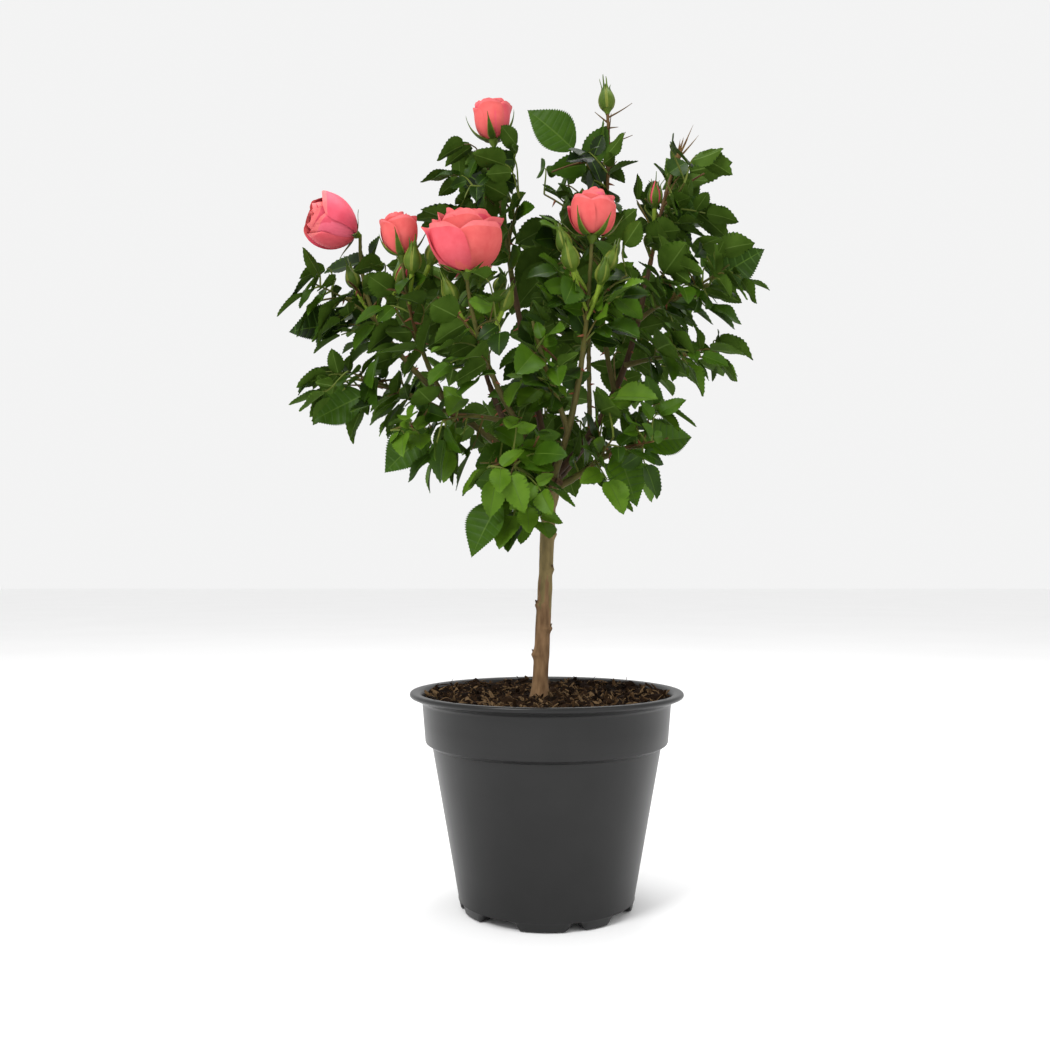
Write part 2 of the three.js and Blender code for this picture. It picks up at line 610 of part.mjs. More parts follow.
function makePot() {
  const shell = solid(turned([
    [0, 0],
    [PAD_RADIUS, 0],
    [PAD_RADIUS + FOOT_BEVEL, FLOOR_UNDERSIDE],
    [FOOT_INNER_RADIUS, FLOOR_UNDERSIDE],
    [FOOT_INNER_RADIUS + FOOT_BEVEL, 0],
    [FOOT_RADIUS - FOOT_BEVEL, 0],
    [wallRadius(FOOT_BEVEL), FOOT_BEVEL],
    [wallRadius(STEP_FOOT_HEIGHT), STEP_FOOT_HEIGHT],
    [BAND_FOOT_RADIUS, BAND_FOOT_HEIGHT],
    [BAND_TOP_RADIUS, BAND_TOP_HEIGHT],
    [RIM_RADIUS - RIM_BEVEL, POT_HEIGHT - RIM_THICKNESS],
    [RIM_RADIUS, POT_HEIGHT - RIM_THICKNESS + RIM_BEVEL],
    [RIM_RADIUS, POT_HEIGHT - RIM_BEVEL],
    [RIM_RADIUS - RIM_BEVEL, POT_HEIGHT],
    [RIM_RADIUS - RIM_WIDTH, POT_HEIGHT],
    ...innerWall(BAND_TOP_HEIGHT, 0).reverse(),
    [0, FLOOR_TOP],
  ], POT_SIDES));
  let pot = shell;
  for (let repeat = 0; repeat < NOTCH_REPEATS; repeat++)
    for (const notch of NOTCHES)
      pot = pot.subtract(solid(notchCutter(notch.middle + (360 * repeat) / NOTCH_REPEATS, notch.width)));
  return meshOf("pot", pot, MATERIALS.pot);
}

// A sector of a ring that cuts one notch; the front of the pot faces -Y.
function notchCutter(middle, width) {
  const start = degToRad(middle - width / 2 - 90);
  const end = degToRad(middle + width / 2 - 90);
  const sector = new THREE.Shape();
  sector.absarc(0, 0, FOOT_RADIUS + 2 * NOTCH_HEIGHT, start, end, false);
  sector.absarc(0, 0, FOOT_INNER_RADIUS - NOTCH_HEIGHT, end, start, true);
  sector.closePath();
  const cutter = new THREE.ExtrudeGeometry(sector, {
    depth: 2 * NOTCH_HEIGHT,
    curveSegments: 3,
    bevelEnabled: false,
  });
  return cutter.translate(0, 0, -NOTCH_HEIGHT);
}

// Soil with a lumpy top that banks up against the wall, level in the middle where the trunk stands.
function makeSoil() {
  const edge = bandRadius(SOIL_LEVEL) - WALL_THICKNESS - GAP;
  const rings = SOIL_RINGS.map((share) => [share * edge, SOIL_LEVEL]).reverse();
  const level = ((SOIL_RINGS[0] + SOIL_RINGS[1]) / 2) * edge;
  const lump = turned([
    [0, FLOOR_TOP + GAP],
    ...innerWall(SOIL_LEVEL - SOIL_LUMP, GAP),
    ...rings,
    [0, SOIL_LEVEL],
  ], POT_SIDES);
  reshape(lump, (place) => {
    const out = Math.hypot(place.x, place.y);
    if (place.z < SOIL_LEVEL - GAP || out < level) return place;
    const wave = (at, axis) => Math.sin(at / SOIL_LUMP_BREADTH + SOIL_LUMP_SHIFT[axis]);
    const lumps = wave(place.x, 0) * wave(place.y, 1);
    const bank = Math.exp(-(((out - edge) / SOIL_BANK_BREADTH) ** 2));
    return place.setZ(SOIL_LEVEL + SOIL_LUMP * lumps + SOIL_BANK * bank);
  });
  return meshOf("soil", solid(lump), MATERIALS.soil);
}

const trunkShape = { from: TRUNK_CUT, sides: TRUNK_SIDES, steps: TRUNK_STEPS };

function makeTrunk() {
  const level = (place) => place.setZ(Math.max(place.z, TRUNK_CUT_HEIGHT));
  const trunk = limb(trunkLine, trunkRadius, trunkShape);
  return meshOf("trunk", solid(reshape(trunk, level)), MATERIALS.bark);
}

// The bare part of a cane, seated on the trunk or on its parent cane.
function makeBough(cane) {
  const { parent } = cane;
  const shape = { sides: BOUGH_SIDES, steps: BOUGH_STEPS };
  const seat = parent
    ? limb(parent.curve, (share) => parent.radius(share) + SEAT_GAP, { ...shape, to: parent.entry })
    : limb(trunkLine, (...at) => trunkRadius(...at) + SEAT_GAP, trunkShape);
  const bough = solid(limb(cane.curve, cane.radius, { ...shape, to: cane.entry }));
  return meshOf("bough_" + cane.name, mainBody(bough.subtract(solid(seat))), MATERIALS.cane);
}

// The corners of a leaflet beyond the rib, up its lower edge and down its upper one.
const leafletCorners = (leaflet) => [
  onLeaflet(leaflet, LEAFLET_WIDEST, -0.5),
  onLeaflet(leaflet, 1, 0),
  onLeaflet(leaflet, LEAFLET_WIDEST, 0.5),
];

// The rows of a leaf's blade from root to tip: [along, aside] of one edge, the rib and the other edge, and
// the station whose directions they keep to.
function leafRows({ leaflets, stalk }) {
  const [last, ...paired] = leaflets;
  const stations = [...new Set(paired.map((leaflet) => leaflet.from))].sort((a, b) => a - b);
  const row = (station, left, right) => ({ station, places: [left, [station, 0], right] });
  const bare = (station) => row(station, [station, -RIB_HALF_WIDTH], [station, RIB_HALF_WIDTH]);
  const rows = [bare(0)];
  for (const station of stations) {
    const [left, right] = [-1, 1].map((hand) => {
      const start = [station - PAIR_SEAT, hand * RIB_HALF_WIDTH];
      const end = [station + PAIR_SEAT_LEAD, hand * RIB_HALF_WIDTH];
      const leaflet = paired.find((one) => one.from === station && one.hand === hand);
      return [start, ...(leaflet ? leafletCorners(leaflet) : [start, start, end]), end];
    });
    rows.push(...left.map((place, i) => row(station, place, right[i])));
  }
  const [lower, tip, upper] = leafletCorners(last);
  return [...rows, bare(stalk), row(stalk, upper, lower), { station: stalk, places: [tip, tip, tip] }];
}

// A leaf as one thin blade, bent along its rib.
function leafBlade(leaf) {
  const rows = leafRows(leaf);
  const steps = rows.length - 1;
  const plate = new THREE.BoxGeometry(steps, 2, LEAF_THICKNESS, steps, 2);
  return reshape(plate, ({ x, y, z }) => {
    const { station, places } = rows[Math.round(x + steps / 2)];
    return onLeaf(leaf, station, ...places[y + 1], z);
  });
}

function flowerHead(flower) {
  const profile = FLOWER_PROFILES[flower.kind].map(([out, up]) => [out * flower.radius, up * flower.radius]);
  const turn = new THREE.Quaternion().setFromUnitVectors(UP, flower.axis);
  const foot = flower.base.clone().addScaledVector(flower.axis, -FLOWER_SINK);
  return turned(profile, FLOWERS[flower.kind].sides).applyQuaternion(turn).translate(...foot.toArray());
}

// A mass of foliage: the cane's leafy end, its leaves and its flowers, all in one piece.
function makeMass(cane, leaves, flowers) {
  const start = cane.entry + GAP / cane.curve.getLength();
  const stemShape = { from: start, sides: STEM_SIDES, steps: STEM_STEPS };
  const pedicelShape = { sides: PEDICEL_SIDES, steps: PEDICEL_STEPS };
  const pedicels = flowers.map((flower) => flower.pedicel).filter(Boolean);
  const pieces = [
    limb(cane.curve, cane.radius, stemShape),
    ...leaves.map(leafBlade),
    ...flowers.map(flowerHead),
    ...pedicels.map((pedicel) => limb(pedicel, () => PEDICEL_RADIUS, pedicelShape)),
  ];
  const whole = wasm.Manifold.union(pieces.map(solid));
  return meshOf("mass_" + cane.name, mainBody(whole), MATERIALS.foliage);
}

const canes = growCanes();
const limbs = limbPoints(canes);
const flowers = growFlowers(canes, limbs);

const rose = new THREE.Group();
rose.name = "potted_standard_rose";
rose.add(makePot(), makeSoil(), makeTrunk());
for (const cane of canes) {
  const leaves = growLeaves(cane, canes, flowers, limbs);
  const ownFlowers = flowers.filter((flower) => flower.cane === cane);
  rose.add(makeBough(cane), makeMass(cane, leaves, ownFlowers));
}

export default rose;
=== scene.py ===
import json
import math
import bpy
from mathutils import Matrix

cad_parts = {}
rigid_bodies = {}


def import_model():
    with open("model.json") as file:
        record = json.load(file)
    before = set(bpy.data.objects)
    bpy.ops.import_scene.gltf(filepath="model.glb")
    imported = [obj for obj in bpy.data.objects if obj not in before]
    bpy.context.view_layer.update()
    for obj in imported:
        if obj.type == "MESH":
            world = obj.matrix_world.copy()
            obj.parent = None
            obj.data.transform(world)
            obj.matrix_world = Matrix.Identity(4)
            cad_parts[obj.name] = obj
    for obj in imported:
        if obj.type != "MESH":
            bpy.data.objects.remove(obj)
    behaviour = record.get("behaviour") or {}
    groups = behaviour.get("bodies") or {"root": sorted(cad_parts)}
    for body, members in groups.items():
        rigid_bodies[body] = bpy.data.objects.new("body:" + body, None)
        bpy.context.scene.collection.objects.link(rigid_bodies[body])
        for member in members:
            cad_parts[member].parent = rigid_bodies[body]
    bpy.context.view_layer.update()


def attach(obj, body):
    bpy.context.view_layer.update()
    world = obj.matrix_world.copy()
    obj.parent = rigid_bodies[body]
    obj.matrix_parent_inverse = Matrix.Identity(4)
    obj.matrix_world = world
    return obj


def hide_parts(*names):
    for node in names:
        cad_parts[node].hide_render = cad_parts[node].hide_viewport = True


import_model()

from types import SimpleNamespace as Item
import bpy
import numpy as np
from mathutils import Vector

# A standard rose in its nursery pot. Lengths are in millimetres until a mesh is made.
MM = 0.001
UP = np.array([0.0, 0.0, 1.0])

# Pot and soil
FOOT_RADIUS = 60
WALL_SLOPE = 0.175
NOTCHES = [(17.5, 9), (-33.5, 27)]
NOTCH_HEIGHT = 6
NOTCH_RAMP = 5
SOIL_LEVEL = 144.5
SOIL_RADIUS = 84.4
# Height and breadth of the soil's lumps, and of the bank against the pot's wall
SOIL_LUMP = (1.6, 9)
SOIL_BANK = (2, 10)

# Trunk: its line from in the soil, its radius at both ends, and the growth and spread of its flare
TRUNK_ROOT = (-5, 0, 139.3)
TRUNK_TOP = (3, 0, 304)
TRUNK_CUT = (SOIL_LEVEL - TRUNK_ROOT[2]) / (TRUNK_TOP[2] - TRUNK_ROOT[2])
TRUNK_RADII = (5.4, 4.6)
TRUNK_FLARE = (2.2, 0.035)
# Growth, share of the height and breadth of the trunk's head
TRUNK_HEAD = (4, 0.93, 0.065)
# Share of the height, azimuth and growth of each old bud, and the breadth of all
TRUNK_BUDS = [(0.21, 180, 1.6), (0.32, -20, 1.3), (0.42, 200, 1.4), (0.57, -40, 1.2), (0.72, 10, 1.5)]
BUD_BREADTH = 0.016

# The rule of the crown, as in the part
CANE_BASE_RADIUS = 2.7
CANE_TIP_RADIUS = 1.1
BRANCH_SHARE = 0.85
ENTRY_RANGE = (0.25, 0.9)
ENTRY_STEP = 0.02
LEAFLET_LENGTH = 34
LEAF_SIZES = (0.78, 1.25)
LEAF_FOLD = 0.16
ROOT_DROP = 28
LEAST_STALK = 5
LEAD_GROWTH = 1.25
LEAD_FACE = np.array([0, -1, 0.35])
PAIR_DISTANCES = (0.88, 0.3)
SPREAD_STEPS = np.array([0.8192, 0.671, 0.5497])
SPACE_LIMIT = 1.16
LEAD_LIMIT = 1.45
SPACE_MARGIN = 0.015
LIMB_CLEARANCE = 1.6
LIMB_SAMPLES = 48
TWIST_LIMIT = 0.35
# Shares of a leaflet's length and width at which it has to be clear: one side, the middle, the other side
SIDE_PROBES = [(0.2, 0.36), (0.48, 0.5), (0.8, 0.24), (0.25, 0.1), (0.5, 0.25)]
LEAFLET_PROBES = np.array(
    SIDE_PROBES + [(0.5, 0), (0.76, 0), (1, 0)] + [(out, -off) for out, off in SIDE_PROBES])
# Radius, height of the middle and clearance of each kind of flower
FLOWERS = {"open": (23, 18, 24), "half": (14, 14, 16), "bud": (5, 10, 9)}
# Tries, spacing and size of the part's own leaves, then of the finer ones on side twigs
OWN_LEAVES = {"first": 0, "tries": 90, "spacing": 6, "size": 1, "least": 3}
FINE_LEAVES = {"first": 1000, "tries": 300, "spacing": 2.6, "size": 0.74, "least": 2}
FINE_SHARE = 3.6
# Every few of the finer leaves stand nearer the middle of the crown, between the masses
INNER_STEP = 3
INNER_SHIFT = 0.38
INNER_LIMIT = 1.6
SIDE_TWIGS = 4
# Height above which a cane bears no leaves but its longest
BARE_ABOVE = {"top_centre": 525}
# Masses whose middles lie further back than this face backwards
BACK_FROM = 40
GOLDEN_TURN = 137.5

# Name, parent, at, tip, lift, finish, seed, centre, reach, leaves, flower, buds and leads of a mass
MASSES = [
    ("left_outer", None, 0.94, (-139, -20, 448), 35, 70, 617,
     (-138, -18, 418), (42, 42, 48), 8, "open", 2, (-178, -15, 399)),
    ("left_inner", "left_outer", 0.4, (-94, -55, 432), 40, 80, 94,
     (-94, -50, 402), (34, 36, 50), 7, "half", 3),
    ("left_low", "left_outer", 0.3, (-130, -24, 362), 20, 5, 185,
     (-124, -22, 356), (46, 42, 36), 8, None, 0, (-162, -20, 336)),
    ("front_left", None, 0.96, (-52, -66, 418), 42, 80, 378,
     (-52, -60, 390), (36, 42, 52), 8, "open", 4),
    ("low_left", "front_left", 0.3, (-84, -46, 332), 10, -15, 613,
     (-78, -40, 326), (44, 42, 38), 7, None, 0, (-109, -40, 298)),
    ("low_front", None, 0.9, (-22, -56, 300), 30, -40, 303,
     (-20, -46, 300), (40, 40, 52), 8, None, 0, (-51, -40, 242), (-68, -42, 282)),
    ("top_left", None, 0.985, (-37, 12, 534), 78, 84, 248,
     (-44, 6, 490), (44, 46, 60), 7, "half", 0, (-61, 2, 555)),
    ("centre", None, 0.925, (28, -56, 444), 46, 84, 470,
     (30, -50, 418), (42, 42, 50), 6, "half", 4),
    ("heart", "centre", 0.25, (-10, -54, 394), 60, 70, 397,
     (-8, -46, 368), (36, 42, 50), 7, None, 0),
    ("top_right", None, 0.955, (92, 6, 522), 42, 70, 232,
     (92, 2, 488), (38, 46, 54), 7, "bud", 1, (110, -12, 490)),
    ("top_centre", "top_right", 0.3, (43, 4, 554), 75, 86, 109,
     (26, 2, 498), (46, 48, 64), 6, "bud", 0, (-12, -10, 552)),
    ("right_mid", "top_right", 0.52, (108, -30, 424), 30, 10, 163,
     (100, -26, 424), (44, 44, 36), 8, None, 0, (147, -25, 446)),
    ("right_low", "top_right", 0.38, (100, -22, 380), 10, 0, 181,
     (94, -20, 380), (44, 42, 28), 6, None, 0, (137, -20, 379)),
    ("low_right", None, 0.91, (64, -26, 316), 15, -10, 648,
     (56, -22, 318), (48, 40, 44), 5, None, 0, (102, -20, 330), (79, -20, 303), (60, -22, 275)),
    ("back_left", None, 0.93, (-60, 78, 462), 35, 78, 204,
     (-72, 66, 430), (52, 48, 62), 5, "open", 2),
    ("back_low", "back_left", 0.25, (-6, 74, 344), 25, -5, 469,
     (-6, 66, 338), (62, 48, 48), 6, None, 0),
    ("back_right", None, 0.92, (72, 80, 440), 36, 76, 489,
     (76, 68, 412), (46, 48, 56), 5, None, 2),
    ("back_centre", "back_right", 0.3, (34, 82, 492), 62, 82, 408,
     (12, 76, 448), (48, 48, 62), 5, "half", 2),
]


def lerp(low, high, share):
    return low + (high - low) * share


def lengths(vectors):
    return np.linalg.norm(vectors, axis=-1)


def runs(places):
    """Distance along a line to each of its points."""
    return np.concatenate([[0], np.cumsum(lengths(np.diff(places, axis=0)))])


def unit(vector):
    return vector / lengths(vector)[..., None]


def mound(place, middle, breadth):
    """A smooth bump that is 1 at its middle."""
    return np.exp(-(((place - middle) / breadth) ** 2))


def ramp(value, start, end):
    """From 0 at the start to 1 at the end."""
    return np.clip((value - start) / (end - start), 0, 1)


def round_angles(count):
    return np.linspace(0, 2 * math.pi, count, endpoint=False)


def ray(azimuth, elevation):
    a, e = math.radians(azimuth), math.radians(elevation)
    return np.array([math.cos(e) * math.cos(a), math.cos(e) * math.sin(a), math.sin(e)])


def draw(seed, *keys):
    """A number from 0 to 1 that depends only on the seed and the keys."""
    mask = 0xFFFFFFFF
    value = seed & mask
    for key in keys:
        value = (((value ^ (key + 0x9E3779B9)) & mask) * 0x85EBCA6B) & mask
        value ^= value >> 13
        value = (value * 0xC2B2AE35) & mask
        value ^= value >> 16
    return value / 2 ** 32


def draws(count, *keys):
    """A few numbers from 0 to 1 that depend only on the keys."""
    return [draw(*keys, key) for key in range(count)]


def noise(places, size, seed=0):
    """Smooth noise from -1 to 1 with lumps of the given size."""
    scaled = np.asarray(places, float) / size
    cell = np.floor(scaled).astype(np.int64)
    part = scaled - cell
    part = part * part * (3 - 2 * part)
    total = 0
    for corner in np.ndindex(2, 2, 2):
        at = cell + np.array(corner)
        value = at[..., 0] * 73856093 ^ at[..., 1] * 19349663 ^ at[..., 2] * 83492791 ^ seed * 2654435
        value = ((value ^ (value >> 13)) * 1274126177) & 0xFFFFFFFF
        value = (value ^ (value >> 15)) & 0xFFFF
        weight = np.prod(np.where(np.array(corner) == 1, part, 1 - part), axis=-1)
        total = total + weight * (value / 32767.5 - 1)
    return total


class Curve:
    """A Bezier curve through its first and last points."""

    def __init__(self, *points):
        self.points = np.array(points, float)

    def at(self, share):
        share = np.asarray(share, float)[..., None]
        level = [point + 0 * share for point in self.points]
        while len(level) > 1:
            level = [a + (b - a) * share for a, b in zip(level, level[1:])]
        return level[0]

    def tangent(self, share):
        return unit(Curve(*np.diff(self.points, axis=0)).at(share))


TRUNK_LINE = Curve(TRUNK_ROOT, TRUNK_TOP)


def trunk_radius(place, azimuth):
    """The trunk's radius at a share of its height, in a direction in degrees."""
    radius = lerp(*TRUNK_RADII, place) + TRUNK_FLARE[0] * np.exp((TRUNK_CUT - place) / TRUNK_FLARE[1])
    radius = radius + TRUNK_HEAD[0] * mound(place, *TRUNK_HEAD[1:])
    for middle, facing, growth in TRUNK_BUDS:
        turned_to = np.maximum(0, np.cos(np.radians(azimuth - facing)))
        radius = radius + growth * turned_to ** 2 * mound(place, middle, BUD_BREADTH)
    return radius


class Cane:
    """One cane of the crown and the mass of foliage at its end."""

    def __init__(self, row):
        (self.name, origin, at, tip, lift, finish, self.seed,
         centre, reach, self.leaves, self.flower, self.buds, *leads) = row
        self.parent = next((cane for cane in CANES if cane.name == origin), None)
        self.centre, self.reach = np.array(centre, float), np.array(reach, float)
        self.leads = [np.array(lead, float) for lead in leads]
        start = (self.parent.curve if self.parent else TRUNK_LINE).at(at)
        tip = np.array(tip, float)
        span = lengths(tip - start)
        azimuth = math.degrees(math.atan2(tip[1] - start[1], tip[0] - start[0]))
        self.curve = Curve(start, start + ray(azimuth, lift) * 0.4 * span,
                           tip - ray(azimuth, finish) * 0.35 * span, tip)
        self.base = self.parent.radius(at) * BRANCH_SHARE if self.parent else CANE_BASE_RADIUS
        self.twigs = []

    def radius(self, share):
        return lerp(self.base, CANE_TIP_RADIUS, share)

    def depth(self, places):
        return lengths((places - self.centre) / self.reach)


def in_space(cane, places, limit):
    depth = cane.depth(places)
    inside = depth <= limit
    for other in CANES:
        if other is not cane:
            inside &= other.depth(places) > depth + SPACE_MARGIN
    return inside


CANES = []
for row in MASSES:
    CANES.append(Cane(row))
for cane in CANES:
    cane.entry = ENTRY_RANGE[1]
    while cane.entry > ENTRY_RANGE[0] and in_space(cane, cane.curve.at(cane.entry - ENTRY_STEP), 1):
        cane.entry -= ENTRY_STEP

LIMB_SHARES = np.linspace(0, 1, LIMB_SAMPLES + 1)
LIMB_PLACES = np.concatenate([line.at(LIMB_SHARES) for line in [cane.curve for cane in CANES] + [TRUNK_LINE]])
LIMB_RADII = LIMB_CLEARANCE + np.concatenate(
    [cane.radius(LIMB_SHARES) for cane in CANES] + [trunk_radius(LIMB_SHARES, 0) + TRUNK_BUDS[0][2]])
LIMB_STEMS = np.concatenate(
    [np.where(LIMB_SHARES > cane.entry, i, -1) for i, cane in enumerate(CANES)] + [0 * LIMB_SHARES - 1])


def flowers_of(cane):
    """The flower at a cane's tip, then its buds on pedicels fanned round the side that faces out."""
    if cane.flower:
        yield Item(kind=cane.flower, base=cane.curve.at(1), axis=cane.curve.tangent(1), pedicel=None)
    outside = 90 if cane.centre[1] > BACK_FROM else -90
    for i in range(cane.buds):
        chance = draws(5, cane.seed, 500 + i)
        fan = lerp(-85, 85, i / (cane.buds - 1)) if cane.buds > 1 else 0
        lean = ray(outside + fan + lerp(-15, 15, chance[1]), lerp(38, 55, chance[3]))
        root = cane.curve.at(max(lerp(0.66, 0.82, chance[2]), cane.entry + 0.05))
        length = lerp(22, 30, chance[4])
        bend = root + lean * length / 2
        base = bend + lean * length * 0.25 + UP * length * 0.25
        pedicel = Curve(root, bend, base)
        yield Item(kind="bud", base=base, axis=pedicel.tangent(1), pedicel=pedicel)


def grow_flowers():
    flowers = []
    for i, cane in enumerate(CANES):
        for order, flower in enumerate(flowers_of(cane)):
            _, middle, clearance = FLOWERS[flower.kind]
            place = flower.base + flower.axis * middle
            vars(flower).update(cane=cane, middle=place, clearance=clearance, seed=cane.seed + 37 * order)
            room = lengths(LIMB_PLACES - place) > LIMB_RADII + clearance
            apart = all(lengths(other.middle - place)
                        > (0.75 if other.cane is cane else 1) * (other.clearance + clearance)
                        for other in flowers)
            inside = in_space(cane, np.array([flower.base, place]), LEAD_LIMIT).all()
            if flower.pedicel is None or (inside and apart and (room | (LIMB_STEMS == i)).all()):
                flowers.append(flower)
    return flowers


BLOOMS = grow_flowers()


def leaf_place(cane, number, inner):
    start = np.array([draw(cane.seed, 70 + i) for i in range(3)])
    out, rise, turn = (start + number * SPREAD_STEPS) % 1
    direction = ray(360 * turn, math.degrees(math.asin(1 - 2 * rise)))
    place = direction * 0.84 * lerp(0.06, 1, out) ** 0.42 * cane.reach + cane.centre
    return place + INNER_SHIFT * (TRUNK_TOP - place) * [1, 1, 0] if inner else place


def pinnate_leaf(cane, number, size, fine):
    """An arched rib from the stem, with a leaflet at its end and pairs below it."""
    def chance(key):
        return draw(cane.seed, number, key)
    lead = cane.leads[number] if number < len(cane.leads) else None
    inner = fine and number % INNER_STEP == 0
    if lead is not None:
        longest = LEAFLET_LENGTH * LEAD_GROWTH
        end = lead + unit(cane.curve.at(0.75) - lead) * longest
    else:
        longest = LEAFLET_LENGTH * size * lerp(*LEAF_SIZES, chance(7))
        end = leaf_place(cane, number, inner)
    roots = cane.curve.at(np.linspace(cane.entry + ENTRY_STEP, 0.93 if cane.flower else 1, 21))
    if fine:
        roots = np.concatenate([roots] + [twig.at(np.linspace(0.25, 1, 12)) for twig in cane.twigs])
    aim = end - UP * ROOT_DROP * (0.5 if fine else 1)
    root = roots[np.argmin(lengths(roots - aim))]
    stalk = lengths(end - root)
    if stalk < LEAST_STALK:
        return None
    straight = (end - root) / stalk
    outward = unit((end - TRUNK_TOP) * [1, 1, 0])
    if lead is not None:
        last, face, limit = unit(lead - end), LEAD_FACE, LEAD_LIMIT
    else:
        last = unit(straight * 0.7 + outward * 0.55 - UP * lerp(0, 1.1, chance(3)))
        aslant = np.cross(outward, UP) * lerp(-0.6, 0.6, chance(6))
        face = UP * 0.6 + outward * lerp(0.3, 1.3, chance(5)) + aslant
        limit = INNER_LIMIT if inner else SPACE_LIMIT
    rib = Curve(root, root + straight * stalk / 3 + UP * 0.08 * stalk, end - last * stalk / 3, end)
    sines = lengths(np.cross(rib.tangent(np.linspace(0, 1, 5)), unit(face)))
    if sines.min() < TWIST_LIMIT:
        return None
    leaflets = [Item(hand=1, swing=0, share=1, length=longest,
                     width=longest * lerp(0.66, 0.78, chance(10)), key=0)]
    for pair, distance in enumerate(PAIR_DISTANCES):
        if stalk < (distance + 0.1) * longest:
            continue
        for hand in (-1, 1):
            key = 20 + 2 * pair + (hand + 1) // 2
            shorter = longest * lerp(0.66, 0.88, chance(key + 10))
            leaflets.append(Item(hand=hand, swing=math.radians(lerp(64, 69, chance(key))),
                                 share=(stalk - distance * longest) / stalk, length=shorter,
                                 width=shorter * lerp(0.58, 0.66, chance(key + 20)), key=key))
    for leaflet in leaflets:
        tangent = rib.tangent(leaflet.share)
        side = unit(np.cross(face, tangent))
        normal = np.cross(tangent, side)
        cosine, sine = math.cos(leaflet.swing), math.sin(leaflet.swing)
        hand = leaflet.hand
        leaflet.base = rib.at(leaflet.share)
        leaflet.onward = tangent * cosine + side * hand * sine
        leaflet.normal = normal
        out = LEAFLET_PROBES[:, :1] * leaflet.length
        off = LEAFLET_PROBES[:, 1:] * leaflet.width
        aside = np.abs(out * sine - off * cosine)
        rise = LEAF_FOLD * aside - 0.006 * aside ** 2
        across = tangent * sine - side * hand * cosine
        leaflet.probes = leaflet.base + out * leaflet.onward + off * across + rise * normal
    return Item(rib=rib, leaflets=leaflets, limit=limit, lead=lead is not None,
                number=number, cane=cane, fine=fine)


def hides(places, bloom):
    """Whether any place lies in front of a bloom, on the side of the crown that it looks out of."""
    outward = np.array([0, 1 if bloom.middle[1] > BACK_FROM else -1, 0])
    off = places - bloom.middle
    ahead = off @ outward
    aside = lengths(off - ahead[:, None] * outward)
    return ((ahead > 0) & (aside < max(8, 0.85 * FLOWERS[bloom.kind][0]))).any()


def grow_leaves(index, taken, most, first, tries, spacing, size, least):
    """The leaves of a mass that stay in its space, clear of limbs, flowers and each other."""
    cane = CANES[index]
    near = (LIMB_STEMS != index) & (cane.depth(LIMB_PLACES) < 2)
    limbs, radii = LIMB_PLACES[near], LIMB_RADII[near]
    blooms = [bloom for bloom in BLOOMS if cane.depth(bloom.middle) < 3]
    leaves = []

    def fits(places, limit):
        if not in_space(cane, places, limit).all():
            return False
        if len(limbs) and (lengths(places[:, None] - limbs) < radii).any():
            return False
        return all((lengths(places - bloom.middle) > bloom.clearance).all()
                   and not hides(places, bloom) for bloom in blooms)

    def apart(places):
        return not taken or lengths(places[:, None] - np.concatenate(taken)).min() > spacing

    for number in range(first, first + tries):
        if len(leaves) >= most:
            break
        leaf = pinnate_leaf(cane, number, size, first > 0)
        if not leaf or (not leaf.lead and leaf.rib.at(1)[2] > BARE_ABOVE.get(cane.name, 1000)):
            continue
        leaf.leaflets = [leaflet for leaflet in leaf.leaflets
                         if fits(leaflet.probes, leaf.limit) and apart(leaflet.probes)]
        fewest = 1 if leaf.lead else least
        if len(leaf.leaflets) < fewest or leaf.leaflets[0].key:
            continue
        stalk = leaf.rib.at(np.array([0.3, 0.45, 0.6, 0.8, 1]))
        if not fits(stalk, leaf.limit) or not apart(stalk[2:]):
            continue
        leaves.append(leaf)
        taken.append(stalk)
        taken.extend(leaflet.probes for leaflet in leaf.leaflets)
    return leaves


def side_twigs(index):
    """Finer twigs from a mass's stem out into its space."""
    cane = CANES[index]
    for i in range(SIDE_TWIGS):
        share = lerp(cane.entry + 0.06, 0.88, (i + 0.3) / SIDE_TWIGS)
        root = cane.curve.at(share)
        turn = 360 * draw(cane.seed, 900) + GOLDEN_TURN * i
        target = cane.centre + ray(turn, lerp(-10, 35, draw(cane.seed, 901 + i))) * cane.reach * 0.62
        leave = cane.curve.tangent(share) * 0.5 + unit(target - root) * 0.5
        twig = Curve(root, root + leave * lengths(target - root) * 0.45, target)
        places = twig.at(np.linspace(0.2, 1, 9))
        others = LIMB_STEMS != index
        gap = lengths(places[:, None] - LIMB_PLACES[others]) - LIMB_RADII[others]
        clear = all(lengths(places - bloom.middle).min() > bloom.clearance for bloom in BLOOMS)
        if gap.min() > 0 and clear and in_space(cane, places, 1).all():
            cane.twigs.append(twig)


LEAVES = []
for index, cane in enumerate(CANES):
    side_twigs(index)
    occupied = []
    LEAVES += grow_leaves(index, occupied, cane.leaves, **OWN_LEAVES)
    LEAVES += grow_leaves(index, occupied, round(FINE_SHARE * cane.leaves), **FINE_LEAVES)


# Finishes
def linear(red, green, blue):
    return [(value / 255 / 12.92 if value <= 10 else ((value / 255 + 0.055) / 1.055) ** 2.4)
            for value in (red, green, blue)] + [1]


